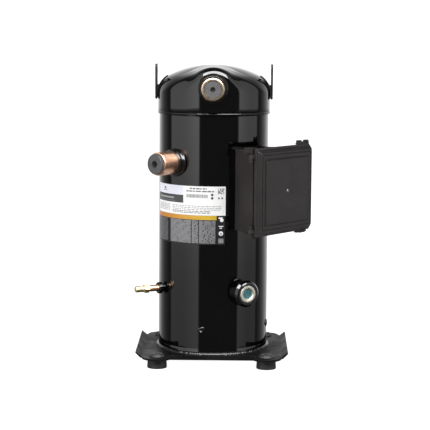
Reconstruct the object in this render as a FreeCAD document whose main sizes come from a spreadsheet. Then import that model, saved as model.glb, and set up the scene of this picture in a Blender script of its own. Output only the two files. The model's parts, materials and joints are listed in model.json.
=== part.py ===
import FreeCAD, Part
import math
import os
import Sketcher

# Hermetic scroll compressor: welded steel shell on a pressed base plate with four rubber
# mounts, a scroll set driven by an induction motor through a crankshaft, and a plastic
# terminal box on its side.
# Frame: +Z up, origin on the floor at the centre of the four mounting bolts, front is -Y.
# An azimuth is the angle from the front, seen from above, positive towards +X.
# "Reach" is a distance from the shell's axis.

SIZES = {
    # shell and caps
    "shell_radius": 97.0, "shell_wall": 3.5, "shell_bottom": 22.5, "shell_top": 452.0,
    "shell_flare": 1.0, "shell_flare_height": 10.0, "neck_inset": 2.0,
    "cap_radius": 99.2, "cap_wall": 4.0, "cap_bottom": 444.0, "cap_top": 525.0,
    "knuckle_radius": 36.0, "knuckle_height": 474.5,
    "bay_top": 522.5, "bay_arc_radius": 45.0, "bay_arc_angle": 38.0, "bay_proud": 0.3,
    "bay_half": 95.0, "bay_floor": 452.0, "bay_drop": 2.0,
    "lower_cap_bottom": 14.5, "lower_cap_rim": 43.5, "lower_cap_wall": 3.0,
    "bead_width": 3.0, "bead_height": 5.0, "base_bead_width": 3.6, "base_bead_height": 4.6,
    "plug_weld_height": 66.0,
    # base plate, feet and sleeves
    "foot_pitch": 190.5, "plate_thick": 3.5, "plate_top": 19.5, "plate_half_x": 125.0,
    "plate_half_y": 110.0, "plate_corner_x": 104.0, "plate_corner_y": 94.0,
    "plate_hole_radius": 88.0, "boss_top": 22.5, "boss_radius": 104.0, "boss_slope": 6.0,
    "flare_half_x": 134.0, "flare_top": 27.0, "flare_half_length": 94.0,
    "lip_top": 24.5, "lip_half": 80.0, "lobe_radius": 27.0,
    "mount_radius": 17.0, "mount_neck": 11.2, "mount_top": 23.2, "mount_top_radius": 14.0,
    "sleeve_radius": 6.2, "bolt_radius": 4.25, "sleeve_top": 24.2, "washer_radius": 9.5,
    # lifting lugs
    "lug_half_width": 17.0, "lug_thick": 3.2, "lug_leg": 2.4, "lug_reach": 103.6, "lug_fold": 464.0,
    "lug_top": 525.5, "lug_hole_radius": 8.0, "lug_hole_height": 511.0,
    # discharge and suction stubs
    "discharge_height": 486.5, "discharge_radius": 19.0, "discharge_bore": 14.6,
    "discharge_end": 142.0, "discharge_collar": 23.0, "discharge_collar_end": 110.0,
    "suction_azimuth": -42.0, "suction_height": 357.0, "suction_radius": 20.0,
    "suction_bore": 17.8, "suction_end": 146.0, "suction_collar": 23.6,
    "suction_collar_end": 112.0, "stub_step": 0.3, "stub_bare": 0.5,
    "plug_clearance": 0.3, "plug_depth": 18.0,
    # oil valve
    "valve_azimuth": -64.0, "valve_height": 132.0, "valve_flange": 10.3, "valve_tube": 5.75,
    "valve_disc_start": 101.5, "valve_disc_end": 108.0,
    "valve_hex_start": 126.0, "valve_hex_end": 133.5, "valve_hex_across": 14.0,
    "valve_nipple": 4.2, "valve_nipple_end": 142.5, "valve_cap_radius": 5.7,
    "valve_cap_start": 134.5, "valve_cap_end": 150.5, "valve_bore": 2.6,
    "valve_stem": 0.8, "valve_stem_head": 2.2,
    # sight glass
    "glass_azimuth": 30.0, "glass_height": 132.7, "glass_housing": 23.3,
    "glass_housing_end": 125.0, "glass_ring": 15.0, "glass_view": 9.0,
    # terminal box
    "box_azimuth": 51.5, "box_bottom": 242.5, "box_top": 381.5, "box_back_half": 44.0,
    "box_back": 82.0, "box_front_half": 75.5, "box_front": 148.0, "box_wall": 3.0,
    "lid_half": 79.5, "lid_bottom": 238.5, "lid_top": 389.0, "lid_back": 150.0,
    "lid_step": 157.0, "lid_face": 163.0, "lid_panel": 165.0, "lid_wall": 2.5,
    "lid_bevel": 6.0, "panel_inset": 10.0, "hinge_across": -84.0, "hinge_reach": 149.5,
    "corner_cut": 8.0, "latch_start": 39.0, "latch_end": 71.0, "shoulder_rise": 7.5,
    "hinge_pin": 2.0, "hinge_gap": 0.08, "knuckle_outer": 3.8,
    "terminal_height": 312.5, "terminal_radius": 27.0, "terminal_pin": 3.2,
    "terminal_pitch": 13.0, "terminal_pin_end": 132.0, "conduit_radius": 14.0,
    "conduit_reach": 126.0,
    # nameplate on the shell
    "label_low": 216.7, "label_high": 318.0, "label_thick": 0.25,
    "label_left": -75.0, "label_right": 13.4,
    # drive line
    "orbit_radius": 5.0, "journal_radius": 19.0, "running_gap": 0.05, "crank_pin": 13.0,
    "bush_radius": 19.0, "shaft_radius": 17.5, "lower_journal": 12.5, "oil_bore": 3.0,
    "bearing_wall": 3.0, "rotor_radius": 46.5, "rotor_low": 165.0, "rotor_high": 265.0,
    "stator_radius": 93.0, "stator_bore": 47.2, "stator_low": 170.0, "stator_high": 260.0,
    "slot_inner": 52.0, "slot_outer": 74.0, "slot_width": 6.5, "slot_count": 24,
    "winding_low": 138.0, "winding_high": 288.0, "winding_inner": 51.0, "winding_outer": 82.0,
    # scroll set
    "wrap_half_pitch": 9.3, "wrap_thick": 4.0, "wrap_start": 11.0, "wrap_half_turns": 6,
    "orbit_plate": 73.0, "orbit_low": 388.0, "orbit_high": 400.0, "wrap_height": 23.7,
    "hub_radius": 24.0, "hub_low": 366.0, "fixed_low": 400.3, "fixed_root": 424.0,
    "fixed_top": 436.0, "fixed_radius": 92.5, "fixed_ring": 79.0, "port_radius": 7.0,
    "housing_radius": 93.2, "housing_low": 322.0, "oldham_inner": 60.0, "oldham_outer": 76.0,
    "bolt_circle": 87.6, "bolt_shank": 3.0, "key_radius": 68.0, "key_length": 12.0, "key_width": 8.0, "play": 0.3,
}

doc = FreeCAD.newDocument("scroll_compressor")
sheet = doc.addObject("Spreadsheet::Sheet", "sizes")


def fill_sheet():
    for row, (alias, value) in enumerate(SIZES.items(), start=1):
        sheet.set("A%d" % row, alias.replace("_", " "))
        sheet.set("B%d" % row, repr(value))
        sheet.setAlias("B%d" % row, alias)
    doc.recompute()


class Size:
    """A number with the sheet expression that drives it, so a sum keeps both."""

    def __init__(self, value, text=None):
        self.value = float(value)
        self.text = text or repr(float(value))

    def __add__(self, other):
        other = as_size(other)
        return Size(self.value + other.value, "(%s + %s)" % (self.text, other.text))

    def __sub__(self, other):
        other = as_size(other)
        return Size(self.value - other.value, "(%s - %s)" % (self.text, other.text))

    def __mul__(self, other):
        other = as_size(other)
        return Size(self.value * other.value, "%s * %s" % (self.text, other.text))

    def __truediv__(self, other):
        other = as_size(other)
        return Size(self.value / other.value, "%s / %s" % (self.text, other.text))

    def __neg__(self):
        return Size(-self.value, "(-1 * %s)" % self.text)

    def __radd__(self, other):
        return as_size(other) + self

    def __rsub__(self, other):
        return as_size(other) - self

    def __rmul__(self, other):
        return as_size(other) * self

    def __float__(self):
        return self.value


def as_size(number):
    return number if isinstance(number, Size) else Size(number)


class Cells:
    """Cells.shell_radius is the Size of the sheet's cell shell_radius."""

    def __getattr__(self, alias):
        return Size(sheet.get(alias), "sizes." + alias)


cell = Cells()
fill_sheet()
nodes = []


def bind(item, name, number):
    item.setExpression(name, as_size(number).text)


def keep(item, label):
    """Name a finished sub-part and put it on the list of nodes."""
    item.Label = label
    nodes.append(item)
    return item


def lift(item, height):
    bind(item, "Placement.Base.z", height)
    return item


def radial(azimuth):
    """Turn local Z outwards from the shell, local X along its side and local Y up."""
    about = FreeCAD.Rotation(FreeCAD.Vector(0, 0, 1), float(azimuth))
    return about * FreeCAD.Rotation(FreeCAD.Vector(1, 0, 0), 90)


def aim(item, azimuth, height):
    """Point a piece modelled up its own Z outwards, at an azimuth and a height."""
    item.Placement = FreeCAD.Placement(FreeCAD.Vector(0, 0, float(height)), radial(azimuth))
    return lift(item, height)


def plane(body, role):
    for feature in body.Origin.OriginFeatures:
        if feature.Role == role:
            return feature
    raise RuntimeError("no %s" % role)


def sketch_outline(body, name, role, outline):
    """Draw a closed outline of straight runs whose corners are all held by the sheet."""
    sketch = body.newObject("Sketcher::SketchObject", name)
    sketch.AttachmentSupport = (plane(body, role), [""])
    sketch.MapMode = "FlatFace"
    corners = [(as_size(across), as_size(along)) for across, along in outline]
    points = [FreeCAD.Vector(float(across), float(along), 0) for across, along in corners]
    following = points[1:] + points[:1]
    sketch.addGeometry([Part.LineSegment(a, b) for a, b in zip(points, following)], False)
    count = len(points)
    joins = [Sketcher.Constraint("Coincident", i, 2, (i + 1) % count, 1) for i in range(count)]
    sketch.addConstraint(joins)
    for i, (across, along) in enumerate(corners):
        for kind, number in (("DistanceX", across), ("DistanceY", along)):
            held = sketch.addConstraint(
                Sketcher.Constraint(kind, -1, 1, i, 1, float(number)))
            if "sizes" in number.text:
                sketch.setExpression("Constraints[%d]" % held, number.text)
    return sketch


def turned(name, outline):
    """A solid of revolution about Z from (radius, height) corners."""
    body = doc.addObject("PartDesign::Body", name)
    sketch = sketch_outline(body, name + "_profile", "XZ_Plane", outline)
    spin = body.newObject("PartDesign::Revolution", name + "_turn")
    spin.Profile = sketch
    spin.ReferenceAxis = (sketch, ["V_Axis"])
    spin.Angle = 360
    body.Tip = spin
    return body


def tube(name, outer, inner, low, high):
    return turned(name, [(inner, low), (outer, low), (outer, high), (inner, high)])


def prism(name, outline, thick, role="XY_Plane"):
    """A straight solid from an outline: along +Z from XY, along -Y from XZ."""
    body = doc.addObject("PartDesign::Body", name)
    sketch = sketch_outline(body, name + "_outline", role, outline)
    pad = body.newObject("PartDesign::Pad", name + "_pad")
    pad.Profile = sketch
    bind(pad, "Length", thick)
    body.Tip = pad
    return body


def cylinder(name, radius, length):
    item = doc.addObject("Part::Cylinder", name)
    bind(item, "Radius", radius)
    bind(item, "Height", length)
    return item


def cut(name, base, *tools):
    item = doc.addObject("Part::Cut", name)
    item.Base = base
    item.Tool = tools[0] if len(tools) == 1 else fuse(name + "_tools", *tools)
    return item


def fuse(name, *shapes):
    item = doc.addObject("Part::MultiFuse", name)
    item.Shapes = list(shapes)
    return item


def group(name, *shapes):
    item = doc.addObject("Part::Compound", name)
    item.Links = list(shapes)
    return item


def radial_hole(name, radius, azimuth, height, start, length):
    """A cylinder that points out of the shell, for cutting or for a round piece."""
    drill = cylinder(name, radius, length)
    outwards = radial(azimuth).multVec(FreeCAD.Vector(0, 0, float(start)))
    drill.Placement = FreeCAD.Placement(
        outwards + FreeCAD.Vector(0, 0, float(height)), radial(azimuth))
    return lift(drill, height)


def side_block(name, across, reach, height, far_across=None, far_height=None):
    """A block beside the terminal box's own centre line, tapered if a far end is given.

    across, reach and height are (low, high) pairs: along the shell's side, out from the
    axis, and up.
    """
    far_across = far_across or across
    far_height = far_height or height
    block = doc.addObject("Part::Wedge", name)
    bind(block, "Xmin", -as_size(across[1]))
    bind(block, "Xmax", -as_size(across[0]))
    bind(block, "Ymin", reach[0])
    bind(block, "Ymax", reach[1])
    bind(block, "Zmin", height[0])
    bind(block, "Zmax", height[1])
    bind(block, "X2min", -as_size(far_across[1]))
    bind(block, "X2max", -as_size(far_across[0]))
    bind(block, "Z2min", far_height[0])
    bind(block, "Z2max", far_height[1])
    half_turn = FreeCAD.Rotation(FreeCAD.Vector(0, 0, 1), float(cell.box_azimuth) + 180)
    block.Placement = FreeCAD.Placement(FreeCAD.Vector(), half_turn)
    return block


def beside_box(across, reach, height):
    """The point at a distance along the side, out from the axis and up, at the box."""
    turn = FreeCAD.Rotation(FreeCAD.Vector(0, 0, 1), float(cell.box_azimuth))
    return turn.multVec(FreeCAD.Vector(float(across), -float(reach), float(height)))


def upright(item, across, reach, height):
    """Stand a piece modelled up its own Z at a point given in the terminal box's terms."""
    turn = FreeCAD.Rotation(FreeCAD.Vector(0, 0, 1), float(cell.box_azimuth))
    item.Placement = FreeCAD.Placement(beside_box(across, reach, height), turn)
    return lift(item, height)


def outward(item, across, reach, height):
    """Point a piece modelled up its own Z out of the box at such a point."""
    item.Placement = FreeCAD.Placement(beside_box(across, reach, height),
                                       radial(cell.box_azimuth))
    return lift(item, height)


# ---------------------------------------------------------------- shell and caps

def make_main_shell():
    outer = cell.shell_radius
    inner = outer - cell.shell_wall
    neck = outer - cell.neck_inset
    flare = outer + cell.shell_flare
    body = turned("shell_tube", [
        (inner, cell.shell_bottom), (flare, cell.shell_bottom), (flare, cell.shell_bottom + 2),
        (outer, cell.shell_bottom + cell.shell_flare_height), (outer, cell.cap_bottom - 1.5),
        (neck, cell.cap_bottom - 0.1), (neck, cell.shell_top),
        (neck - cell.shell_wall, cell.shell_top),
        (neck - cell.shell_wall, cell.cap_bottom + 3), (inner, cell.cap_bottom)])
    start = outer - 20
    openings = [
        radial_hole("suction_opening", cell.suction_collar, cell.suction_azimuth,
                    cell.suction_height, start, 40),
        radial_hole("valve_opening", cell.valve_flange - 3, cell.valve_azimuth,
                    cell.valve_height, start, 40),
        radial_hole("glass_opening", cell.glass_housing - 4, cell.glass_azimuth,
                    cell.glass_height, start, 40),
        radial_hole("terminal_opening", cell.terminal_radius, cell.box_azimuth,
                    cell.terminal_height, start, 40)]
    keep(cut("shell", body, *openings), "main_shell")


def dome(name, inset):
    """The cap's outside, or its inside at a given inset: a crown and a knuckle, tangent."""
    radius = float(cell.cap_radius) - inset
    knuckle = float(cell.knuckle_radius) - inset
    top = float(cell.cap_top) - inset
    low = float(cell.cap_bottom)
    knuckle_z = float(cell.knuckle_height)
    knuckle_x = radius - knuckle
    rise = top - knuckle_z
    crown = (knuckle_x ** 2 + rise ** 2 - knuckle ** 2) / (2 * (rise - knuckle))
    lean = math.atan2(knuckle_x, knuckle_z - top + crown)

    def at(centre_x, centre_z, reach, angle):
        return FreeCAD.Vector(centre_x + reach * math.sin(angle), 0,
                              centre_z + reach * math.cos(angle))

    meet = at(knuckle_x, knuckle_z, knuckle, lean)
    crown_arc = Part.Arc(FreeCAD.Vector(0, 0, top), at(0, top - crown, crown, lean / 2), meet)
    halfway = (lean + math.pi / 2) / 2
    knuckle_arc = Part.Arc(meet, at(knuckle_x, knuckle_z, knuckle, halfway),
                           FreeCAD.Vector(radius, 0, knuckle_z))
    corners = [FreeCAD.Vector(radius, 0, knuckle_z), FreeCAD.Vector(radius, 0, low),
               FreeCAD.Vector(0, 0, low), FreeCAD.Vector(0, 0, top)]
    edges = [crown_arc.toShape(), knuckle_arc.toShape()]
    edges += [Part.LineSegment(a, b).toShape() for a, b in zip(corners, corners[1:])]
    face = Part.Face(Part.Wire(edges))
    item = doc.addObject("Part::Feature", name)
    item.Shape = face.revolve(FreeCAD.Vector(), FreeCAD.Vector(0, 0, 1), 360)
    return item


def bay(name, inset):
    """The raised front of the cap over the discharge stub, with a bell-shaped top."""
    radius = float(cell.cap_radius) + float(cell.bay_proud) - inset
    half = float(cell.bay_half) - inset
    top = float(cell.bay_top) - inset
    arc_radius = float(cell.bay_arc_radius)
    angle = math.radians(float(cell.bay_arc_angle))
    low = float(cell.knuckle_height) - float(cell.bay_drop) - inset
    shoulder_x = arc_radius * math.sin(angle)
    shoulder_z = top - arc_radius * (1 - math.cos(angle))
    middle_x = (shoulder_x + half) / 2 - 2.5
    middle_z = (shoulder_z + low) / 2 - 3.0
    floor = float(cell.bay_floor)

    def at(across, up):
        return FreeCAD.Vector(across, 0, up)

    peak = Part.Arc(at(-shoulder_x, shoulder_z), at(0, top), at(shoulder_x, shoulder_z))
    right = Part.Arc(at(shoulder_x, shoulder_z), at(middle_x, middle_z), at(half, low))
    left = Part.Arc(at(-half, low), at(-middle_x, middle_z), at(-shoulder_x, shoulder_z))
    sides = [at(half, low), at(half, floor), at(-half, floor), at(-half, low)]
    edges = [left.toShape(), peak.toShape(), right.toShape()]
    edges += [Part.LineSegment(a, b).toShape() for a, b in zip(sides, sides[1:])]
    slab = Part.Face(Part.Wire(edges)).extrude(FreeCAD.Vector(0, -radius - 5, 0))
    barrel = Part.makeCylinder(radius, 120, FreeCAD.Vector(0, 0, floor - 5))
    item = doc.addObject("Part::Feature", name)
    item.Shape = slab.common(barrel)
    return item


def make_top_cap():
    wall = float(cell.cap_wall)
    outside = fuse("cap_outside", dome("cap_dome", 0.0), bay("cap_bay", 0.0))
    inside = fuse("cap_inside", dome("cap_room", wall), bay("cap_bay_room", wall))
    mouth = radial_hole("discharge_opening", cell.discharge_radius + 0.1, 0,
                        cell.discharge_height, 60, 60)
    keep(cut("cap", outside, inside, mouth), "top_cap")


def make_lower_cap():
    wall = cell.lower_cap_wall
    fit = cell.shell_radius - cell.shell_wall - 0.2
    low = cell.lower_cap_bottom
    keep(turned("lower_dish", [
        (0, low), (74, low), (86, low + 10), (fit, low + 14), (fit, cell.lower_cap_rim),
        (fit - wall, cell.lower_cap_rim), (fit - wall, low + 16), (85, low + 13),
        (73, low + wall), (0, low + wall)]), "lower_cap")


def make_welds():
    low = cell.cap_bottom - cell.bead_height
    face = cell.shell_radius + 0.02
    width = cell.bead_width
    seam = turned("seam_bead", [
        (face, low), (face + width * 0.6, low + 0.8), (face + width, low + 2.5),
        (face + width * 0.9, cell.cap_bottom - 0.3), (face, cell.cap_bottom - 0.3)])
    plate = cell.boss_top
    foot = cell.shell_radius + cell.shell_flare
    spread = cell.base_bead_width
    height = cell.base_bead_height
    ring = turned("base_bead", [
        (foot + 0.02, plate + 0.02), (foot + spread, plate + 0.02),
        (foot + spread * 0.7, plate + height * 0.5), (foot + 0.02, plate + height)])
    keep(group("beads", seam, ring, *plug_weld_spots()), "welds")


def plug_weld_spots():
    """Four weld spots that hold the lower bearing bracket in the shell."""
    spots = []
    for i in range(4):
        azimuth = -11 + 90 * i
        spot = turned("plug_weld_%d" % i, [
            (0, cell.shell_radius - 0.35), (4.2, cell.shell_radius - 0.35),
            (3.4, cell.shell_radius + 0.6), (0, cell.shell_radius + 1.1)])
        spots.append(aim(spot, azimuth, cell.plug_weld_height))
    hide = cylinder("spot_room", cell.shell_radius + 0.01, 200)
    for i, spot in enumerate(spots):
        spots[i] = cut("plug_spot_%d" % i, spot, hide)
    return spots


# ---------------------------------------------------------------- base plate and feet

def foot_places():
    half = float(cell.foot_pitch) / 2
    return [(side * half, end * half) for end in (-1, 1) for side in (-1, 1)]


def at_feet(name, make):
    """Four copies of a turned piece, one on each mounting centre."""
    half = cell.foot_pitch / 2
    items = []
    for i, (x, y) in enumerate(foot_places()):
        item = make("%s_%d" % (name, i))
        bind(item, "Placement.Base.x", half if x > 0 else -half)
        bind(item, "Placement.Base.y", half if y > 0 else -half)
        items.append(item)
    return items


def make_base_plate():
    thick = cell.plate_thick
    under = cell.plate_top - thick
    side = cell.plate_half_x
    front = cell.plate_half_y
    near_x = cell.plate_corner_x
    near_y = cell.plate_corner_y
    sheet_metal = lift(prism("plate_sheet", [
        (side, -near_y), (side, near_y), (near_x, front), (-near_x, front), (-side, near_y),
        (-side, -near_y), (-near_x, -front), (near_x, -front)], thick), under)
    hole = cell.plate_hole_radius
    ring = cell.boss_radius
    slope = cell.boss_slope
    boss = turned("plate_boss", [
        (hole, cell.boss_top - thick), (hole, cell.boss_top), (ring, cell.boss_top),
        (ring + slope, cell.plate_top), (ring + slope, under), (ring, cell.boss_top - thick)])
    middle = cylinder("plate_middle", ring + slope - 1, 60)
    lobes = at_feet("plate_lobe", lambda name: tube(
        name, cell.lobe_radius, cell.mount_neck + 0.3, under, cell.plate_top))
    edge = cell.flare_half_x
    flares = []
    for side_name, sign in (("left", -1), ("right", 1)):
        flare = prism("plate_flare_" + side_name, [
            (sign * (side - 3), under), (sign * side, under),
            (sign * edge, cell.flare_top - 2), (sign * (edge - 1.5), cell.flare_top),
            (sign * (side - 1.5), cell.plate_top), (sign * (side - 3), cell.plate_top)],
            cell.flare_half_length * 2, "XZ_Plane")
        bind(flare, "Placement.Base.y", cell.flare_half_length)
        flares.append(flare)
    lips = []
    for end_name, place in (("front", -front + thick), ("rear", front)):
        lip = prism("plate_lip_" + end_name, [
            (-cell.lip_half, under), (cell.lip_half, under),
            (cell.lip_half - 6, cell.lip_top), (6 - cell.lip_half, cell.lip_top)],
            thick, "XZ_Plane")
        bind(lip, "Placement.Base.y", place)
        lips.append(lip)
    holes = at_feet("mount_opening", lambda name: cylinder(name, cell.mount_neck + 0.3, 60))
    flat = cut("plate_flat", fuse("plate_wings", sheet_metal, *flares), middle)
    blank = fuse("plate_blank", flat, boss, *lobes, *lips)
    keep(cut("plate", blank, *holes), "base_plate")


def make_rubber_mounts():
    pad = cell.plate_top - cell.plate_thick
    tread = cell.mount_radius
    neck = cell.mount_neck
    bore = cell.sleeve_radius + 0.02
    names = ["front_left", "front_right", "rear_left", "rear_right"]
    mounts = at_feet("grommet", lambda name: turned(name, [
        (bore, 0), (tread, 0), (tread + 0.4, 1.5), (tread - 0.6, pad - 0.05),
        (neck, pad - 0.05), (neck, pad + cell.plate_thick + 0.05),
        (cell.mount_top_radius, pad + cell.plate_thick + 0.05),
        (cell.mount_top_radius, cell.mount_top - 3), (cell.mount_top_radius - 3, cell.mount_top),
        (bore, cell.mount_top)]))
    for item, name in zip(mounts, names):
        keep(item, "rubber_mount_" + name)


def make_mount_sleeves():
    sleeves = at_feet("sleeve", lambda name: turned(name, [
        (cell.bolt_radius, 0.5), (cell.sleeve_radius, 0.5),
        (cell.sleeve_radius, cell.mount_top + 0.05), (cell.washer_radius, cell.mount_top + 0.05),
        (cell.washer_radius, cell.sleeve_top), (cell.bolt_radius, cell.sleeve_top)]))
    keep(group("sleeves", *sleeves), "mount_sleeves")


# ---------------------------------------------------------------- lifting lugs

def make_lifting_lugs():
    """A folded strip: one leg follows the cap's shoulder, one stands free with a hole."""
    thick = cell.lug_thick
    outer = cell.lug_reach
    fold = cell.lug_fold
    inner = cell.cap_radius + 0.4
    knuckle = float(cell.knuckle_radius) + 0.4
    centre_x = float(cell.cap_radius) - float(cell.knuckle_radius)
    centre_z = float(cell.knuckle_height)
    rise = [math.radians(a) for a in range(4, 67, 6)]
    skin = [(centre_x + knuckle * math.cos(a), centre_z + knuckle * math.sin(a))
            for a in rise]
    back = knuckle + float(cell.lug_leg)
    over = [(centre_x + back * math.cos(a), centre_z + back * math.sin(a)) for a in rise[3:]]
    for side_name, sign in (("left", -1), ("right", 1)):
        outline = [(inner, fold + 1.5), (inner + 1.5, fold), (outer - 1.5, fold),
                   (outer, fold + 1.5), (outer, cell.lug_top),
                   (outer - thick, cell.lug_top), (outer - thick, over[0][1] - 0.5)]
        outline += over + skin[::-1]
        strip = prism("lug_strip_" + side_name, [(sign * x, z) for x, z in outline],
                      cell.lug_half_width * 2, "XZ_Plane")
        bind(strip, "Placement.Base.y", cell.lug_half_width)
        eye = cylinder("lug_eye_" + side_name, cell.lug_hole_radius, 20)
        eye.Placement = FreeCAD.Placement(
            FreeCAD.Vector(sign * float(outer) - 10, 0, float(cell.lug_hole_height)),
            FreeCAD.Rotation(FreeCAD.Vector(0, 1, 0), 90))
        keep(cut("lug_" + side_name, strip, eye), "lifting_lug_" + side_name)


# ---------------------------------------------------------------- stubs and their plugs

def make_discharge():
    outer = cell.discharge_radius
    root = outer - cell.stub_step
    bore = cell.discharge_bore
    end = cell.discharge_end
    start = cell.cap_radius - cell.cap_wall - 2
    step = cell.discharge_collar_end + cell.stub_bare
    stub = turned("discharge_tube", [
        (bore, start), (root, start), (root, step), (outer, step), (outer, end - 4),
        (outer - 0.8, end - 1.6), (outer - 2.6, end), (bore + 0.6, end)])
    keep(aim(stub, 0, cell.discharge_height), "discharge_stub")
    collar = cell.discharge_collar
    ring = tube("discharge_ring", collar, root + 0.02, cell.cap_radius - 6,
                cell.discharge_collar_end)
    clear = cylinder("collar_room", cell.cap_radius + cell.bay_proud + 0.02, 120)
    seat = lift(clear, cell.cap_bottom - 20)
    keep(cut("discharge_boss", aim(ring, 0, cell.discharge_height), seat),
         "discharge_collar")
    fit = bore - cell.plug_clearance
    plug = turned("discharge_stopper", [
        (0, end - cell.plug_depth), (fit - 2, end - cell.plug_depth), (fit, end - 4),
        (fit, end - 1), (4.4, end - 1), (4.0, end - 9), (0, end - 9)])
    keep(aim(plug, 0, cell.discharge_height), "discharge_plug")


def make_suction():
    outer = cell.suction_radius
    root = outer - cell.stub_step
    bore = cell.suction_bore
    end = cell.suction_end
    tube_start = cell.shell_radius - cell.shell_wall
    collar_end = cell.suction_collar_end
    step = collar_end + cell.stub_bare
    stub = turned("suction_tube", [
        (bore, tube_start), (root, tube_start), (root, step), (outer, step), (outer, end),
        (bore, end)])
    keep(aim(stub, cell.suction_azimuth, cell.suction_height), "suction_stub")
    ring = turned("suction_ring", [
        (root + 0.02, tube_start), (cell.suction_collar - 0.1, tube_start),
        (cell.suction_collar - 0.1, collar_end - 2), (cell.suction_collar - 1.6, collar_end),
        (root + 0.02, collar_end)])
    keep(aim(ring, cell.suction_azimuth, cell.suction_height), "suction_collar")
    fit = bore - cell.plug_clearance
    plug = turned("suction_stopper", [
        (0, end - cell.plug_depth), (fit - 2, end - cell.plug_depth), (fit, end - 5),
        (fit, end + 2.2), (fit - 0.8, end + 3), (6.2, end + 3), (5.8, end - 9), (0, end - 9)])
    keep(aim(plug, cell.suction_azimuth, cell.suction_height), "suction_plug")


# ---------------------------------------------------------------- oil valve

def at_valve(item, label):
    return keep(aim(item, cell.valve_azimuth, cell.valve_height), label)


def make_oil_valve():
    pipe = cell.valve_tube
    flange = cell.valve_flange
    hex_start = cell.valve_hex_start
    hex_end = cell.valve_hex_end
    shell_face = cell.shell_radius
    neck = flange - 3.1
    disc = cell.valve_disc_start
    disc_end = cell.valve_disc_end
    ring = turned("valve_flange_ring", [
        (pipe + 0.02, shell_face - 5), (neck, shell_face - 5), (neck, disc - 0.5), (flange, disc),
        (flange, disc_end - 1), (flange - 1, disc_end), (pipe + 0.02, disc_end)])
    at_valve(ring, "valve_flange")
    at_valve(tube("valve_pipe", pipe, pipe - 1.0, shell_face - 5, hex_start + 3), "valve_tube")
    half_flat = float(cell.valve_hex_across) / 2
    corner = half_flat / math.cos(math.pi / 6)
    hexagon = [(corner * math.cos(math.radians(60 * i)), corner * math.sin(math.radians(60 * i)))
               for i in range(6)]
    nut = prism("valve_hexagon", hexagon, hex_end - hex_start)
    aim(nut, cell.valve_azimuth, cell.valve_height)
    nut.Placement.Base = beyond(cell.valve_azimuth, hex_start, cell.valve_height)
    nipple = aim(cylinder("valve_nipple_rod", cell.valve_nipple, cell.valve_nipple_end
                          - hex_start), cell.valve_azimuth, cell.valve_height)
    nipple.Placement.Base = nut.Placement.Base
    way = aim(turned("valve_way", [
        (0, hex_start - 1), (pipe + 0.02, hex_start - 1), (pipe + 0.02, hex_start + 3),
        (cell.valve_bore, hex_start + 3), (cell.valve_bore, cell.valve_nipple_end + 1),
        (0, cell.valve_nipple_end + 1)]), cell.valve_azimuth, cell.valve_height)
    keep(cut("valve_block", fuse("valve_blank", nut, nipple), way), "valve_body")
    end = cell.valve_cap_end
    room = cell.valve_nipple + 0.08
    start = cell.valve_cap_start
    outer = cell.valve_cap_radius
    at_valve(turned("valve_cover", [
        (room, start), (outer - 0.5, start), (outer, start + 0.8), (outer, end - 1.2),
        (outer - 1.2, end), (0, end), (0, cell.valve_nipple_end + 2.5),
        (room, cell.valve_nipple_end + 2.5)]), "valve_cap")


def beyond(azimuth, reach, height):
    """The point at a reach from the axis, an azimuth and a height."""
    out = radial(azimuth).multVec(FreeCAD.Vector(0, 0, float(reach)))
    return out + FreeCAD.Vector(0, 0, float(height))


def make_valve_core():
    """A sprung pin in the valve's bore, and the spring behind its head."""
    end = cell.valve_nipple_end
    stem = cell.valve_stem
    head = cell.valve_stem_head
    at_valve(turned("core_pin", [
        (0, end - 15), (stem, end - 15), (stem, end - 5), (head, end - 5), (head, end - 3.4),
        (stem, end - 3.4), (stem, end - 0.5), (0, end - 0.5)]), "valve_core_pin")
    at_valve(tube("core_spring", head - 0.3, stem + 0.35, end - 12.5, end - 7), "valve_spring")


# ---------------------------------------------------------------- sight glass

def at_glass(item, label):
    return keep(aim(item, cell.glass_azimuth, cell.glass_height), label)


def make_sight_glass():
    outer = cell.glass_housing
    end = cell.glass_housing_end
    shell_face = cell.shell_radius
    neck = outer - 4.1
    body = aim(turned("glass_cup", [
        (11, shell_face - 6), (neck, shell_face - 6), (neck, shell_face - 3),
        (outer - 1, shell_face - 3), (outer, shell_face + 4), (outer, end - 5),
        (outer - 3, end - 1), (outer - 5, end), (cell.glass_ring + 0.1, end),
        (cell.glass_ring + 0.1, end - 12), (11, end - 12)]),
        cell.glass_azimuth, cell.glass_height)
    rim = cylinder("glass_seat", shell_face + 0.02, 120)
    bore = radial_hole("glass_neck", neck, cell.glass_azimuth, cell.glass_height, 60, 60)
    seat = cut("glass_seat_ring", lift(rim, cell.glass_height - 60), bore)
    keep(cut("glass_body", body, seat), "sight_glass_housing")
    ring = cell.glass_ring
    view = cell.glass_view
    at_glass(turned("glass_retainer", [
        (view, end - 5), (ring, end - 5), (ring, end - 0.5), (ring - 1, end + 0.5),
        (view + 2, end + 0.5), (view, end - 1.5)]), "sight_glass_ring")
    at_glass(turned("glass_disc", [
        (0, end - 9.5), (ring - 0.2, end - 9.5), (ring - 0.2, end - 5.02), (0, end - 5.02)]),
        "sight_glass_lens")
    at_glass(tube("glass_washer", ring - 0.2, 11.5, end - 11.9, end - 9.6),
             "sight_glass_seal")


# ---------------------------------------------------------------- terminal box

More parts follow.
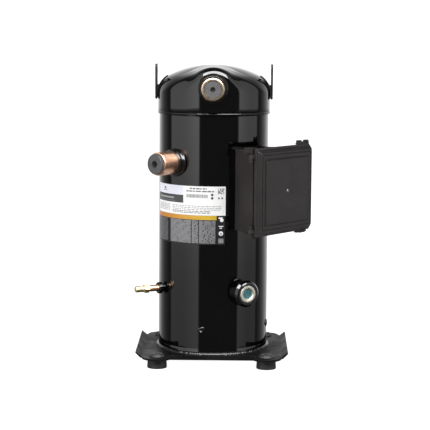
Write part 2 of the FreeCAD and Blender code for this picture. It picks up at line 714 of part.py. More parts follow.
def make_terminal_box():
    wall = cell.box_wall
    low = cell.box_bottom
    high = cell.box_top
    back = cell.box_back
    front = cell.box_front
    back_half = cell.box_back_half
    front_half = cell.box_front_half
    outside = side_block("box_outside", (-back_half, back_half), (back, front), (low, high),
                         (-front_half, front_half), (low, high))
    room = side_block("box_inside", (wall - back_half, back_half - wall), (back, front + 0.01),
                      (low + wall, high - wall), (wall - front_half, front_half - wall),
                      (low + wall, high - wall))
    shell = lift(cylinder("box_shell_room", cell.shell_radius + 0.3, 200), low - 20)
    back_wall = lift(cylinder("box_back_wall", cell.shell_radius + wall + 0.5, 200), low - 20)
    hollow = cut("box_room", room, back_wall)
    window = radial_hole("box_window", cell.terminal_radius + 6, cell.box_azimuth,
                         cell.terminal_height, 80, 40)
    conduit = upright(cylinder("conduit_hole", cell.conduit_radius, 20), 0,
                      cell.conduit_reach, low - 8)
    ears = []
    for i, height in enumerate(ear_heights()):
        web = side_block("ear_web_%d" % i, (cell.hinge_across, -front_half + 1),
                         (front - 4, front - 0.5), (height, height + 6))
        eye = upright(cylinder("ear_eye_%d" % i, cell.knuckle_outer, 6), cell.hinge_across,
                      cell.hinge_reach, height)
        ears += [web, eye]
    shoulders = [side_block("shoulder_%d" % i, (-front_half, 14 - front_half),
                            (front - 20, front - 1), span)
                 for i, span in enumerate(((high - 1, high + cell.shoulder_rise),
                                           (low - cell.shoulder_rise, low + 1)))]
    catches = []
    for i, height in enumerate((float(high) - 22, float(low) + 8)):
        catches.append(side_block("catch_%d" % i, (front_half - 6, front_half + 2.6),
                                  (front - 9, front - 3), (height, height + 14)))
    bore = upright(cylinder("ear_bore", cell.hinge_pin, 200), cell.hinge_across,
                   cell.hinge_reach, low - 20)
    blank = fuse("box_blank", cut("box_skin", outside, shell), *ears, *catches, *shoulders)
    keep(cut("box", blank, hollow, window, conduit, bore), "terminal_box_body")


def ear_heights():
    return [cell.box_bottom + 10, cell.box_top - 16]


def make_hinge_pins():
    pins = []
    for i, height in enumerate(ear_heights()):
        start = height - 7 if i == 0 else height
        pins.append(upright(cylinder("pin_%d" % i, cell.hinge_pin - 0.01, 13),
                            cell.hinge_across, cell.hinge_reach, start))
    keep(group("pins", *pins), "lid_hinge_pins")


def make_box_gasket():
    front = cell.box_front
    half = cell.box_front_half
    low = cell.box_bottom
    high = cell.box_top
    ring = side_block("gasket_outside", (-half, half), (front + 0.02, cell.lid_back + 1.6),
                      (low, high))
    room = side_block("gasket_inside", (4 - half, half - 4), (front - 1, cell.lid_back + 3),
                      (low + 4, high - 4))
    keep(cut("gasket", ring, room), "terminal_box_gasket")


def make_terminal_box_lid():
    half = cell.lid_half
    low = cell.lid_bottom
    high = cell.lid_top
    bevel = cell.lid_bevel
    inset = cell.panel_inset
    wall = cell.lid_wall
    skirt = side_block("lid_skirt", (-half, half), (cell.lid_back, cell.lid_step), (low, high))
    rim = side_block("lid_rim", (-half, half), (cell.lid_step, cell.lid_face), (low, high),
                     (bevel - half, half - bevel), (low + bevel, high - bevel))
    panel = side_block("lid_raised", (inset - half, half - inset),
                       (cell.lid_face, cell.lid_panel), (low + inset, high - inset),
                       (inset + 2 - half, half - inset - 2), (low + inset + 2, high - inset - 2))
    room = side_block("lid_room", (wall - half, half - wall),
                      (cell.lid_back - 1, cell.lid_back + 1.7), (low + wall, high - wall))
    deep = side_block("lid_deep", (wall + 7 - half, half - wall - 7),
                      (cell.lid_back, cell.lid_face - wall), (low + wall + 7, high - wall - 7))
    knuckles = []
    for i, height in enumerate(ear_heights()):
        start = height - 6.6 if i == 0 else height + 6.6
        arm = side_block("knuckle_arm_%d" % i, (cell.hinge_across, 2 - half),
                         (cell.hinge_reach, cell.lid_back + 4), (start, start + 6))
        eye = upright(cylinder("knuckle_eye_%d" % i, cell.knuckle_outer, 6),
                      cell.hinge_across, cell.hinge_reach, start)
        knuckles += [arm, eye]
    bore = upright(cylinder("knuckle_bore", cell.hinge_pin + cell.hinge_gap, 200),
                   cell.hinge_across, cell.hinge_reach, low - 20)
    seat = outward(turned("lid_screw_seat", [
        (0, 0), (2.1, 0), (2.1, 12), (3.4, 12), (3.4, 30), (0, 30)]), 0, cell.lid_back,
        cell.terminal_height)
    corners = []
    for corner_name, height, sign in (("top", high, 1), ("low", low, -1)):
        wedge = prism("lid_corner_" + corner_name, [
            (half - cell.corner_cut, height + sign), (half + 1, height + sign),
            (half + 1, height - sign * cell.corner_cut)], 30)
        corners.append(outward(wedge, 0, cell.lid_back - 5, 0))
    blank = fuse("lid_blank", skirt, rim, panel, *knuckles)
    keep(cut("lid", blank, room, deep, bore, seat, *corners), "terminal_box_lid")
    keep(outward(turned("lid_screw_turned", [
        (0, 2), (2.0, 2), (2.0, 12.05), (3.2, 12.05), (3.2, 15), (2.4, 15.8), (0, 15.8)]),
        0, cell.lid_back, cell.terminal_height), "lid_screw")


def make_lid_latches():
    """Two snap latches on the lid's free side, each a bar with two humps."""
    top = cell.lid_top + 0.02
    low = cell.lid_bottom - 0.02
    across = (float(cell.latch_start), float(cell.latch_end))
    bar = side_block("latch_bar_top", across, (cell.lid_back, cell.lid_step), (top, top + 3.5),
                     (across[0] + 1, across[1] - 1), (top, top + 3))
    humps = [side_block("latch_hump_%d" % i, (start, start + 9), (cell.lid_back, cell.lid_step),
                        (top + 2, top + 7), (start + 1, start + 8), (top + 2, top + 6))
             for i, start in enumerate((across[0] + 1, across[1] - 10))]
    under = side_block("latch_bar_low", across, (cell.lid_back, cell.lid_step), (low - 4, low),
                       (across[0] + 1, across[1] - 6), (low - 3.5, low))
    upper = fuse("latch_upper", bar, *humps)
    keep(group("latches", upper, under), "lid_latches")


def make_terminal():
    """The sealed power terminal in the shell: plate, three pins, block and screws."""
    radius = cell.terminal_radius - 0.1
    face = cell.shell_radius
    pitch = float(cell.terminal_pitch)
    places = [(pitch * math.sin(math.radians(a)), pitch * math.cos(math.radians(a)))
              for a in (0, 120, 240)]
    plate = outward(turned("terminal_disc", [
        (0, face - 9), (radius, face - 9), (radius, face + 2), (radius - 3, face + 2),
        (radius - 3, face - 5), (0, face - 5)]), 0, 0, cell.terminal_height)
    openings = []
    pins = []
    eyes = []
    screws = []
    for i, (across, up) in enumerate(places):
        height = cell.terminal_height + up
        openings.append(outward(cylinder("pin_hole_%d" % i, 5.2, 30), across, 80, height))
        glass = outward(cylinder("pin_glass_%d" % i, 5.15, 4), across, face - 9, height)
        rod = outward(cylinder("pin_rod_%d" % i, cell.terminal_pin,
                               cell.terminal_pin_end - 78), across, 78, height)
        pins.append(fuse("pin_set_%d" % i, glass, rod))
        eyes.append(outward(cylinder("block_hole_%d" % i, cell.terminal_pin + 0.3, 60),
                            across, 90, height))
        screws.append(outward(turned("stud_nut_%d" % i, [
            (cell.terminal_pin + 0.02, 0), (6.2, 0), (6.2, 4), (cell.terminal_pin + 0.02, 4)]),
            across, cell.terminal_pin_end - 9, height))
    keep(cut("terminal_body", plate, *openings), "terminal_plate")
    keep(group("terminal_pin_set", *pins), "terminal_pins")
    block = outward(turned("block_turned", [
        (0, 0), (radius - 3.4, 0), (radius - 3.4, 14), (radius - 6, 16), (0, 16)]),
        0, face + 9.5, cell.terminal_height)
    keep(cut("block", block, *eyes), "terminal_block")
    earth = outward(turned("earth_screw", [
        (0, 0), (4.5, 0), (4.5, 3), (2.5, 4), (0, 4)]), -30, cell.shell_radius + 0.5,
        cell.box_bottom + 22)
    keep(group("terminal_screws", *screws, earth), "terminal_fasteners")


# ---------------------------------------------------------------- nameplate

def make_nameplate():
    """A thin printed sheet that follows the shell."""
    span = cell.label_right - cell.label_left
    inner = cell.shell_radius + 0.03
    rings = []
    for name, radius in (("label_outer", inner + cell.label_thick), ("label_inner", inner)):
        ring = cylinder(name, radius, cell.label_high - cell.label_low)
        bind(ring, "Angle", span)
        turn = FreeCAD.Rotation(FreeCAD.Vector(0, 0, 1), float(cell.label_left) - 90)
        ring.Placement = FreeCAD.Placement(FreeCAD.Vector(), turn)
        rings.append(lift(ring, cell.label_low))
    keep(cut("label", *rings), "nameplate")


# ---------------------------------------------------------------- drive line

def make_crankshaft():
    gap = cell.running_gap
    thrust = cell.hub_low - 7
    shaft = turned("shaft_turned", [
        (0, 56), (cell.lower_journal, 56), (cell.lower_journal, 101), (cell.shaft_radius, 101),
        (cell.shaft_radius, 318), (cell.journal_radius, 318), (cell.journal_radius, thrust),
        (0, thrust)])
    pin = cylinder("crank_pin_rod", cell.crank_pin, 26)
    bind(pin, "Placement.Base.x", cell.orbit_radius)
    lift(pin, thrust - 1)
    passage = lift(cylinder("oil_passage", cell.oil_bore, 400), 20)
    keep(cut("shaft", fuse("shaft_blank", shaft, pin), passage), "crankshaft")
    bush = tube("drive_bush_turned", cell.bush_radius, cell.crank_pin + gap,
                thrust + 2, thrust + 24)
    bind(bush, "Placement.Base.x", cell.orbit_radius)
    keep(bush, "drive_bush")
    keep(turned("pickup_tube", [
        (4, 30), (8, 30), (12.4, 44), (12.4, 55.95), (4, 55.95)]), "oil_pickup")


def half_weight(name, radius, bore, low, high, faces):
    """A half disc that balances the orbiting scroll; faces is the side it lies on."""
    disc = tube(name + "_disc", radius, bore, low, high)
    room = prism(name + "_room", [(0, -80), (80, -80), (80, 80), (0, 80)], high - low + 2)
    lift(room, low - 1)
    if faces > 0:
        room.Placement.Rotation = FreeCAD.Rotation(FreeCAD.Vector(0, 0, 1), 180)
    collar = tube(name + "_collar", bore + 5, bore, low, high)
    return fuse(name, cut(name + "_half", disc, room), collar)


def make_counterweights():
    bore = cell.shaft_radius + 0.02
    keep(half_weight("weight_upper", 44, bore, 292, 312, -1), "upper_counterweight")
    keep(half_weight("weight_lower", 40, bore, 134, 158, 1), "lower_counterweight")


def make_rotor():
    bore = cell.shaft_radius + 0.02
    core = cell.rotor_radius
    keep(turned("rotor_turned", [
        (bore, cell.rotor_low), (28, cell.rotor_low), (30, cell.rotor_low - 6),
        (core - 4, cell.rotor_low - 6), (core - 2, cell.rotor_low), (core, cell.rotor_low),
        (core, cell.rotor_high), (core - 2, cell.rotor_high), (core - 4, cell.rotor_high + 6),
        (30, cell.rotor_high + 6), (28, cell.rotor_high), (bore, cell.rotor_high)]), "rotor")


def around(body, name, role, outline, feature, length, count):
    """Pad or pocket an outline from the body's XY plane and repeat it about Z."""
    sketch = sketch_outline(body, name + "_outline", role, outline)
    item = body.newObject("PartDesign::" + feature, name)
    item.Profile = sketch
    bind(item, "Length", length)
    item.Reversed = feature == "Pocket"
    doc.recompute()
    pattern = body.newObject("PartDesign::PolarPattern", name + "_pattern")
    pattern.Originals = [item]
    pattern.Axis = (plane(body, "Z_Axis"), [""])
    pattern.Angle = 360
    bind(pattern, "Occurrences", count)
    body.Tip = pattern
    return pattern


def make_stator():
    high = cell.stator_high - cell.stator_low
    core = tube("stator_stack", cell.stator_radius, cell.stator_bore, 0, high)
    half = cell.slot_width / 2
    around(core, "winding_slot", "XY_Plane", [
        (cell.stator_bore - 2, -1.2), (cell.slot_inner, -1.2), (cell.slot_inner, -half),
        (cell.slot_outer, -half), (cell.slot_outer, half), (cell.slot_inner, half),
        (cell.slot_inner, 1.2), (cell.stator_bore - 2, 1.2)], "Pocket", high, cell.slot_count)
    lift(core, cell.stator_low)
    flats = []
    for i in range(4):
        angle = math.radians(45 + 90 * i)
        flat = prism("stator_flat_%d" % i, [(90.5, -60), (110, -60), (110, 60), (90.5, 60)],
                     high + 20)
        flat.Placement = FreeCAD.Placement(
            FreeCAD.Vector(), FreeCAD.Rotation(FreeCAD.Vector(0, 0, 1), math.degrees(angle)))
        flats.append(lift(flat, cell.stator_low - 10))
    keep(cut("stator", core, *flats), "stator_core")


def make_windings():
    """End turns above and below the stack, joined by the wires that lie in its slots."""
    low = cell.winding_low
    high = cell.winding_high
    stack_low = cell.stator_low - low - 0.3
    stack_high = cell.stator_high - low + 0.3
    inner = cell.winding_inner
    outer = cell.winding_outer
    coil = turned("coil_turned", [
        (inner, 4), (inner + 4, 0), (outer - 6, 0), (outer, 6), (outer - 4, stack_low),
        (inner, stack_low)])
    room = cell.play
    half = cell.slot_width / 2 - room
    around(coil, "slot_wires", "XY_Plane", [
        (cell.slot_inner + room, -half), (cell.slot_outer - room, -half),
        (cell.slot_outer - room, half), (cell.slot_inner + room, half)], "Pad",
        high - low, cell.slot_count)
    lift(coil, low)
    trim = lift(tube("coil_trim", outer + 2, inner - 2, 0, 30), low - 30)
    upper = turned("coil_upper", [
        (inner, stack_high), (outer - 4, stack_high), (outer, high - low - 6),
        (outer - 6, high - low), (inner + 4, high - low), (inner, high - low - 4)])
    lift(upper, low)
    keep(cut("coils", fuse("coil_blank", coil, upper), trim), "stator_windings")


def make_lower_bearing():
    """A dished bracket with a hub, welded to the shell through four spots."""
    edge = cell.shell_radius - cell.shell_wall - 0.3
    hub = cell.lower_journal + cell.running_gap + cell.bearing_wall + 0.02
    dish = turned("bracket_turned", [
        (hub, 60), (hub + 7, 60), (hub + 7, 84), (60, 84), (edge - 4, 68), (edge - 4, 52),
        (edge, 52), (edge, 68), (edge - 2, 72), (62, 88), (hub + 7, 88), (hub + 7, 99),
        (hub, 99)])
    windows = []
    for i in range(4):
        window = prism("bracket_window_%d" % i, [(34, -16), (78, -26), (78, 26), (34, 16)], 60)
        turn = FreeCAD.Rotation(FreeCAD.Vector(0, 0, 1), 34 + 90 * i)
        window.Placement = FreeCAD.Placement(FreeCAD.Vector(), turn)
        windows.append(lift(window, 50))
    keep(cut("bracket", dish, *windows), "lower_bearing_bracket")
    keep(tube("lower_bush", hub - 0.02, cell.lower_journal + cell.running_gap, 61, 98),
         "lower_bearing")


def make_main_housing():
    gap = cell.running_gap
    bore = cell.journal_radius + gap + cell.bearing_wall + 0.02
    edge = cell.housing_radius
    ring = 84
    low = cell.housing_low
    frame = turned("housing_turned", [
        (bore, low), (bore + 9, low), (bore + 9, 340), (50, 352), (72, 362), (edge - 3, 376),
        (edge, 376), (edge, 400), (ring, 400), (ring, 376), (51, 376), (51, 387.7),
        (33, 387.7), (33, 358), (bore, 358)])
    length = cell.key_length + cell.play * 2
    half = cell.key_width / 2 + 0.05
    keyways = []
    for i, sign in enumerate((-1, 1)):
        reach = cell.key_radius
        travel = cell.orbit_radius + cell.play
        way = prism("housing_keyway_%d" % i, [
            (-half, reach - length / 2 - travel), (half, reach - length / 2 - travel),
            (half, reach + length / 2 + travel), (-half, reach + length / 2 + travel)], 20)
        way.Placement.Rotation = FreeCAD.Rotation(FreeCAD.Vector(0, 0, 1), 90 + sign * 90)
        keyways.append(lift(way, 369.5))
    holes = at_bolts("housing_bolt_hole", lambda name: lift(
        cylinder(name, cell.bolt_shank + 0.2, 60), cell.orbit_low - 1))
    keep(cut("housing", frame, *keyways, *holes), "main_bearing_housing")
    keep(tube("main_bush", bore - 0.02, cell.journal_radius + gap, low + 1, 357.5),
         "main_bearing")


def make_oldham_ring():
    """A ring that slides along Y, with keys down into the housing and up into the scroll."""
    low = 376.3
    ring = tube("oldham_turned", cell.oldham_outer, cell.oldham_inner, low, low + 5.5)
    reach = cell.key_radius
    half_length = cell.key_length / 2
    half_width = cell.key_width / 2
    keys = []
    for i, sign in enumerate((-1, 1)):
        down = prism("key_down_%d" % i, [
            (-half_width, reach - half_length), (half_width, reach - half_length),
            (half_width, reach + half_length), (-half_width, reach + half_length)], 7)
        down.Placement.Rotation = FreeCAD.Rotation(FreeCAD.Vector(0, 0, 1), 90 + sign * 90)
        keys.append(lift(down, 370))
        up = prism("key_up_%d" % i, [
            (reach - half_length, -half_width), (reach + half_length - 2, -half_width),
            (reach + half_length - 2, half_width), (reach - half_length, half_width)], 11.5)
        up.Placement.Rotation = FreeCAD.Rotation(FreeCAD.Vector(0, 0, 1), 90 + sign * 90)
        keys.append(lift(up, 381))
    keep(fuse("oldham", ring, *keys), "oldham_ring")


# ---------------------------------------------------------------- scroll set

def wrap(name, low, high, turn):
    """A spiral wall of half circles whose radius grows by the half pitch each time."""
    step = float(cell.wrap_half_pitch)
    half = float(cell.wrap_thick) / 2
    start = float(cell.wrap_start)
    count = int(float(cell.wrap_half_turns))

    def side(offset):
        arcs = []
        for k in range(count):
            centre = FreeCAD.Vector(-step / 2 if k % 2 == 0 else step / 2, 0, float(low))
            radius = start + k * step + offset
            begin = math.pi * k
            ends = [centre + FreeCAD.Vector(radius * math.cos(begin + a),
                                            radius * math.sin(begin + a), 0)
                    for a in (0, math.pi / 2, math.pi)]
            arcs.append(Part.Arc(*ends))
        return arcs

    outer = side(half)
    inner = side(-half)
    edges = [arc.toShape() for arc in outer + inner]
    edges.append(Part.LineSegment(outer[0].StartPoint, inner[0].StartPoint).toShape())
    edges.append(Part.LineSegment(outer[-1].EndPoint, inner[-1].EndPoint).toShape())
    face = Part.Face(Part.Wire(Part.__sortEdges__(edges)))
    item = doc.addObject("Part::Feature", name)
    item.Shape = face.extrude(FreeCAD.Vector(0, 0, float(high) - float(low)))
    item.Placement = FreeCAD.Placement(
        FreeCAD.Vector(), FreeCAD.Rotation(FreeCAD.Vector(0, 0, 1), turn))
    return item


def make_fixed_scroll():
    root = cell.fixed_root
    disc = turned("fixed_turned", [
        (cell.port_radius, root), (cell.fixed_ring, root), (cell.fixed_ring, cell.fixed_low),
        (cell.fixed_radius, cell.fixed_low), (cell.fixed_radius, root + 6),
        (79, root + 6), (76, cell.fixed_top), (42, cell.fixed_top), (42, cell.fixed_top + 8),
        (36, cell.fixed_top + 8), (36, cell.fixed_top - 2), (cell.port_radius, cell.fixed_top - 2)])
    wall = wrap("fixed_wrap", cell.fixed_low, root + 1, 0)
    inlet = prism("fixed_inlet", [(66, -14), (110, -14), (110, 14), (66, 14)], 16)
    inlet.Placement.Rotation = FreeCAD.Rotation(
        FreeCAD.Vector(0, 0, 1), float(cell.suction_azimuth) - 90)
    lift(inlet, cell.fixed_low - 2)
    holes = at_bolts("fixed_bolt_hole", lambda name: lift(
        cylinder(name, cell.bolt_shank + 0.2, 60), 395))
    keep(cut("fixed", fuse("fixed_blank", disc, wall), inlet, *holes), "fixed_scroll")


def at_bolts(name, make):
    """Four copies of a piece, one on each bolt that holds the fixed scroll down."""
    items = []
    for i in range(4):
        angle = math.radians(45 + 90 * i)
        item = make("%s_%d" % (name, i))
        circle = float(cell.bolt_circle)
        item.Placement.Base.x = circle * math.cos(angle)
        item.Placement.Base.y = circle * math.sin(angle)
        items.append(item)
    return items


def make_scroll_bolts():
    seat = cell.fixed_root + 6.05
    shank = cell.bolt_shank
    bolts = at_bolts("bolt_turned", lambda name: turned(name, [
        (0, cell.orbit_low), (shank, cell.orbit_low), (shank, seat), (4.6, seat),
        (4.6, seat + 3.2), (0, seat + 3.2)]))
    keep(group("bolts", *bolts), "scroll_bolts")


def make_orbiting_scroll():
    """The moving scroll, at rest with the crank's throw along +X."""
    throw = cell.orbit_radius
    low = cell.orbit_low
    high = cell.orbit_high
    bore = cell.bush_radius + cell.running_gap
    disc = turned("orbit_turned", [
        (0, high), (0, low - 1), (bore, low - 1), (bore, cell.hub_low),
        (cell.hub_radius, cell.hub_low), (cell.hub_radius, low), (cell.orbit_plate, low),
        (cell.orbit_plate, high)])
    wall = wrap("orbit_wrap", high - 1, high + cell.wrap_height, 180)
    pockets = []
    for i, turn in enumerate((0, 180)):
        reach = cell.key_radius
        width = cell.key_width / 2 + throw + cell.play
        inner_end = reach - cell.key_length / 2 - throw - cell.play
        pocket = prism("orbit_keyway_%d" % i, [
            (inner_end, -width), (cell.orbit_plate + 2, -width),
            (cell.orbit_plate + 2, width), (inner_end, width)], 7)
        pocket.Placement.Rotation = FreeCAD.Rotation(FreeCAD.Vector(0, 0, 1), turn)
        pockets.append(lift(pocket, low - 1))
    body = cut("orbit_scroll", fuse("orbit_blank", disc, wall), *pockets)
    bind(body, "Placement.Base.x", throw)
    keep(body, "orbiting_scroll")


def make_discharge_parts():
    top = cell.fixed_top
    neck = cell.shell_radius - cell.neck_inset
    rest = cell.shell_top + 0.02
    keep(tube("seal_ring", 35.6, 20, top - 1.9, rest - 3), "floating_seal")
    keep(turned("muffler_plate", [
        (9, rest - 1), (38, rest - 1), (44, rest + 4), (84, rest + 4), (88, rest),
        (neck, rest), (neck, rest + 3), (89, rest + 3), (85, rest + 7), (43, rest + 7),
        (37, rest + 2), (14, rest + 2), (9, rest + 2)]), "separator_plate")
    keep(turned("check_disc", [
        (0, rest + 2.1), (13, rest + 2.1), (13, rest + 3.4), (0, rest + 3.4)]),
        "check_valve_disc")
    cage = turned("cage_turned", [
        (15, rest + 2.02), (18, rest + 2.02), (18, rest + 11), (5, rest + 11), (5, rest + 9),
        (15, rest + 9)])
    slots = []
    for i in range(3):
        slot = prism("cage_slot_%d" % i, [(8, -5), (30, -5), (30, 5), (8, 5)], 5)
        slot.Placement.Rotation = FreeCAD.Rotation(FreeCAD.Vector(0, 0, 1), 120 * i)
        slots.append(lift(slot, rest + 3.5))
    keep(cut("cage", cage, *slots), "check_valve_cage")


def make_suction_baffle():
    """A curved screen that turns the incoming gas away from the windings."""
    sectors = []
    for name, radius, span in (("screen_outer", 93.3, 44), ("screen_front", 84.5, 60),
                               ("screen_room", 95, 38), ("screen_back", 86, 60)):
        sector = cylinder(name, radius, 42)
        sector.Angle = span
        turn = FreeCAD.Rotation(
            FreeCAD.Vector(0, 0, 1), float(cell.suction_azimuth) - 90 - span / 2)
        sector.Placement = FreeCAD.Placement(FreeCAD.Vector(), turn)
        sectors.append(lift(sector, 316))
    outer, front, room, back = sectors
    keep(cut("screen", cut("screen_sector", outer, front), cut("screen_hollow", room, back)),
         "suction_baffle")


def check_document():
    doc.recompute()
    for item in doc.Objects:
        if "Invalid" in item.State or "Error" in item.State:
            raise RuntimeError("%s failed: %s" % (item.Label, item.State))
    for item in nodes:
        if item.Shape.isNull() or not item.Shape.isValid() or not item.Shape.Solids:
            raise RuntimeError("%s has no good shape" % item.Label)


def write_parts():
    os.makedirs("parts", exist_ok=True)
    for item in nodes:
        item.Shape.exportStep("parts/%s.step" % item.Label)


for make in (make_main_shell, make_top_cap, make_lower_cap, make_welds,
             make_base_plate, make_rubber_mounts, make_mount_sleeves, make_lifting_lugs,
             make_discharge, make_suction, make_oil_valve, make_valve_core, make_sight_glass,
             make_terminal_box, make_hinge_pins, make_box_gasket, make_terminal_box_lid,
             make_lid_latches, make_terminal, make_nameplate, make_crankshaft,
             make_counterweights, make_rotor, make_stator, make_windings, make_lower_bearing,
             make_main_housing, make_oldham_ring, make_fixed_scroll, make_scroll_bolts,
             make_orbiting_scroll, make_discharge_parts, make_suction_baffle):
    make()
check_document()
write_parts()
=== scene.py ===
import json
import math
import random

import bmesh
import bpy
from mathutils import Matrix, Vector, noise


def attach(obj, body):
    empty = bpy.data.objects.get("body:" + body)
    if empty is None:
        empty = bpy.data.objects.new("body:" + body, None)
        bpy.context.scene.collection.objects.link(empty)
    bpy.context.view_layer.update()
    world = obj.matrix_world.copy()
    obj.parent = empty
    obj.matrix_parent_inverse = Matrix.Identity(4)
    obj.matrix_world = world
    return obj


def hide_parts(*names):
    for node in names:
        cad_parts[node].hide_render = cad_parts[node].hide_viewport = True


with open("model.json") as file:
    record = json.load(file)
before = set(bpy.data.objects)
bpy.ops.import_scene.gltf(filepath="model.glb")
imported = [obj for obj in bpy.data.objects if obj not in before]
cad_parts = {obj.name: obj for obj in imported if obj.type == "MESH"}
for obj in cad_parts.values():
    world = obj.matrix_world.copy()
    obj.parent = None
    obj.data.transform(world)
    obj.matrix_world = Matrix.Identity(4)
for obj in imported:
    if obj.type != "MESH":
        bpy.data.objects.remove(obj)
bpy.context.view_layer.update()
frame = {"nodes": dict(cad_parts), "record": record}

# Scroll compressor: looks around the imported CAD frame.
# Shapes are written in millimetres and scaled once, when a mesh is finished.
# An azimuth is the angle from the front (-Y), positive towards +X, in degrees.
# "Reach" is a distance from the shell's axis.

MM = 0.001
SHELL_RADIUS = 97.0
CAP_RADIUS = 99.2
BOX_AZIMUTH = 51.5
DISCHARGE_HEIGHT = 486.5
SUCTION_AZIMUTH = -42
SUCTION_HEIGHT = 357.0
ON_AXIS = 1e-6      # a turned point closer to the axis than this is one vertex
BEND_STEP = 1.5     # degrees between the cuts of a block bent round the shell
nodes = frame["nodes"]
slot_of = {part["node"]: part["material_slot"] for part in frame["record"]["subparts"]}


# ---------------------------------------------------------------- mesh helpers

def aim(azimuth, height, reach=0.0, across=0.0):
    """Local X runs along the shell's side, local Y up and local Z outwards."""
    a = math.radians(azimuth)
    side = Vector((math.cos(a), math.sin(a), 0))
    out = Vector((math.sin(a), -math.cos(a), 0))
    up = Vector((0, 0, 1))
    place = Matrix((side, up, out)).transposed().to_4x4()
    place.translation = out * reach + side * across + up * height
    return place


def rounded(corners, steps=5):
    """A closed outline: a corner's third number, if it has one, is its fillet radius."""
    points = []
    for i, corner in enumerate(corners):
        here = Vector(corner[:2])
        fillet = corner[2] if len(corner) > 2 else 0.0
        if not fillet:
            points.append(here)
            continue
        before = Vector(corners[i - 1][:2]) - here
        after = Vector(corners[(i + 1) % len(corners)][:2]) - here
        half = before.angle(after) / 2
        run = min(fillet / math.tan(half), before.length * 0.49, after.length * 0.49)
        radius = run * math.tan(half)
        bisector = (before.normalized() + after.normalized()).normalized()
        middle = here + bisector * (radius / math.sin(half))
        start = here + before.normalized() * run - middle
        turn = start.angle_signed(here + after.normalized() * run - middle)
        for k in range(steps + 1):
            angle = -turn * k / steps
            spin = Matrix.Rotation(angle, 2)
            points.append(middle + spin @ start)
    return points


def turned(bm, outline, place=None, steps=96, wobble=None):
    """Turn (radius, height) points about local Z; wobble(angle, point) moves a point."""
    place = place or Matrix.Identity(4)
    rings = []
    for point in outline:
        if point[0] < ON_AXIS:
            rings.append([bm.verts.new(place @ Vector((0, 0, point[1])))])
            continue
        ring = []
        for k in range(steps):
            angle = 2 * math.pi * k / steps
            radius, height = wobble(angle, point) if wobble else point
            local = Vector((radius * math.sin(angle), -radius * math.cos(angle), height))
            ring.append(bm.verts.new(place @ local))
        rings.append(ring)
    pairs = list(zip(rings, rings[1:]))
    if len(rings[0]) > 1 and len(rings[-1]) > 1:
        pairs.append((rings[-1], rings[0]))
    faces = []
    for low, high in pairs:
        for k in range(steps):
            n = (k + 1) % steps
            if len(low) == 1 and len(high) == 1:
                break
            if len(low) == 1:
                faces.append(bm.faces.new((low[0], high[n], high[k])))
            elif len(high) == 1:
                faces.append(bm.faces.new((low[k], low[n], high[0])))
            else:
                faces.append(bm.faces.new((low[k], low[n], high[n], high[k])))
    return faces


def loft(bm, rings, closed_ends=True):
    """Join rings of as many points each; the first and last ring get a flat face."""
    made = [[bm.verts.new(p) for p in ring] for ring in rings]
    count = len(made[0])
    for low, high in zip(made, made[1:]):
        for k in range(count):
            n = (k + 1) % count
            bm.faces.new((low[k], low[n], high[n], high[k]))
    if closed_ends:
        bm.faces.new(made[0][::-1])
        bm.faces.new(made[-1])
    return made


def block(bm, place, across, up, out):
    """A block in local X, Y and Z, each a (low, high) pair."""
    corners = [(across[0], up[0]), (across[1], up[0]), (across[1], up[1]), (across[0], up[1])]
    loft(bm, [[place @ Vector((x, y, z)) for x, y in corners] for z in out])


def paint(bm, first, material):
    """Give a material to the faces made since there were first of them."""
    bm.faces.ensure_lookup_table()
    for face in bm.faces[first:]:
        face.material_index = material


def curved_block(bm, span, height, reach, material=0):
    """A closed block bent round the shell: a pair of azimuths, heights and reaches."""
    count = max(1, math.ceil((span[1] - span[0]) / BEND_STEP))
    rings = []
    for k in range(count + 1):
        a = math.radians(span[0] + (span[1] - span[0]) * k / count)
        rings.append([Vector((r * math.sin(a), -r * math.cos(a), z))
                      for r, z in ((reach[0], height[0]), (reach[1], height[0]),
                                   (reach[1], height[1]), (reach[0], height[1]))])
    before = len(bm.faces)
    loft(bm, rings)
    paint(bm, before, material)


def piece(name, bm, materials, body, replaced=(), sharp=30.0):
    """Finish a mesh: scale it, smooth it, paint it and hang it on its body."""
    bmesh.ops.recalc_face_normals(bm, faces=bm.faces)
    mesh = bpy.data.meshes.new(name)
    bm.to_mesh(mesh)
    bm.free()
    mesh.transform(Matrix.Scale(MM, 4))
    mesh.shade_smooth()
    mesh.set_sharp_from_angle(angle=math.radians(sharp))
    obj = bpy.data.objects.new(name, mesh)
    bpy.context.scene.collection.objects.link(obj)
    for material in materials:
        mesh.materials.append(material)
    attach(obj, body)
    if replaced:
        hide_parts(*replaced)
    return obj


def soften(obj, width, segments=2, angle=30.0):
    """Round an object's edges, in mm, and even out its shading."""
    bevel = obj.modifiers.new("edges", "BEVEL")
    bevel.width = width * MM
    bevel.segments = segments
    bevel.limit_method = "ANGLE"
    bevel.angle_limit = math.radians(angle)
    bevel.miter_outer = "MITER_ARC"
    obj.modifiers.new("shading", "WEIGHTED_NORMAL")


def soften_node(name, width):
    """The same for a CAD node, whose triangles are first joined into flat faces."""
    obj = nodes[name]
    weld = obj.modifiers.new("join", "WELD")
    weld.merge_threshold = 1e-5
    flat = obj.modifiers.new("faces", "DECIMATE")
    flat.decimate_type = "DISSOLVE"
    flat.angle_limit = math.radians(0.5)
    soften(obj, width)


# ---------------------------------------------------------------- material helpers

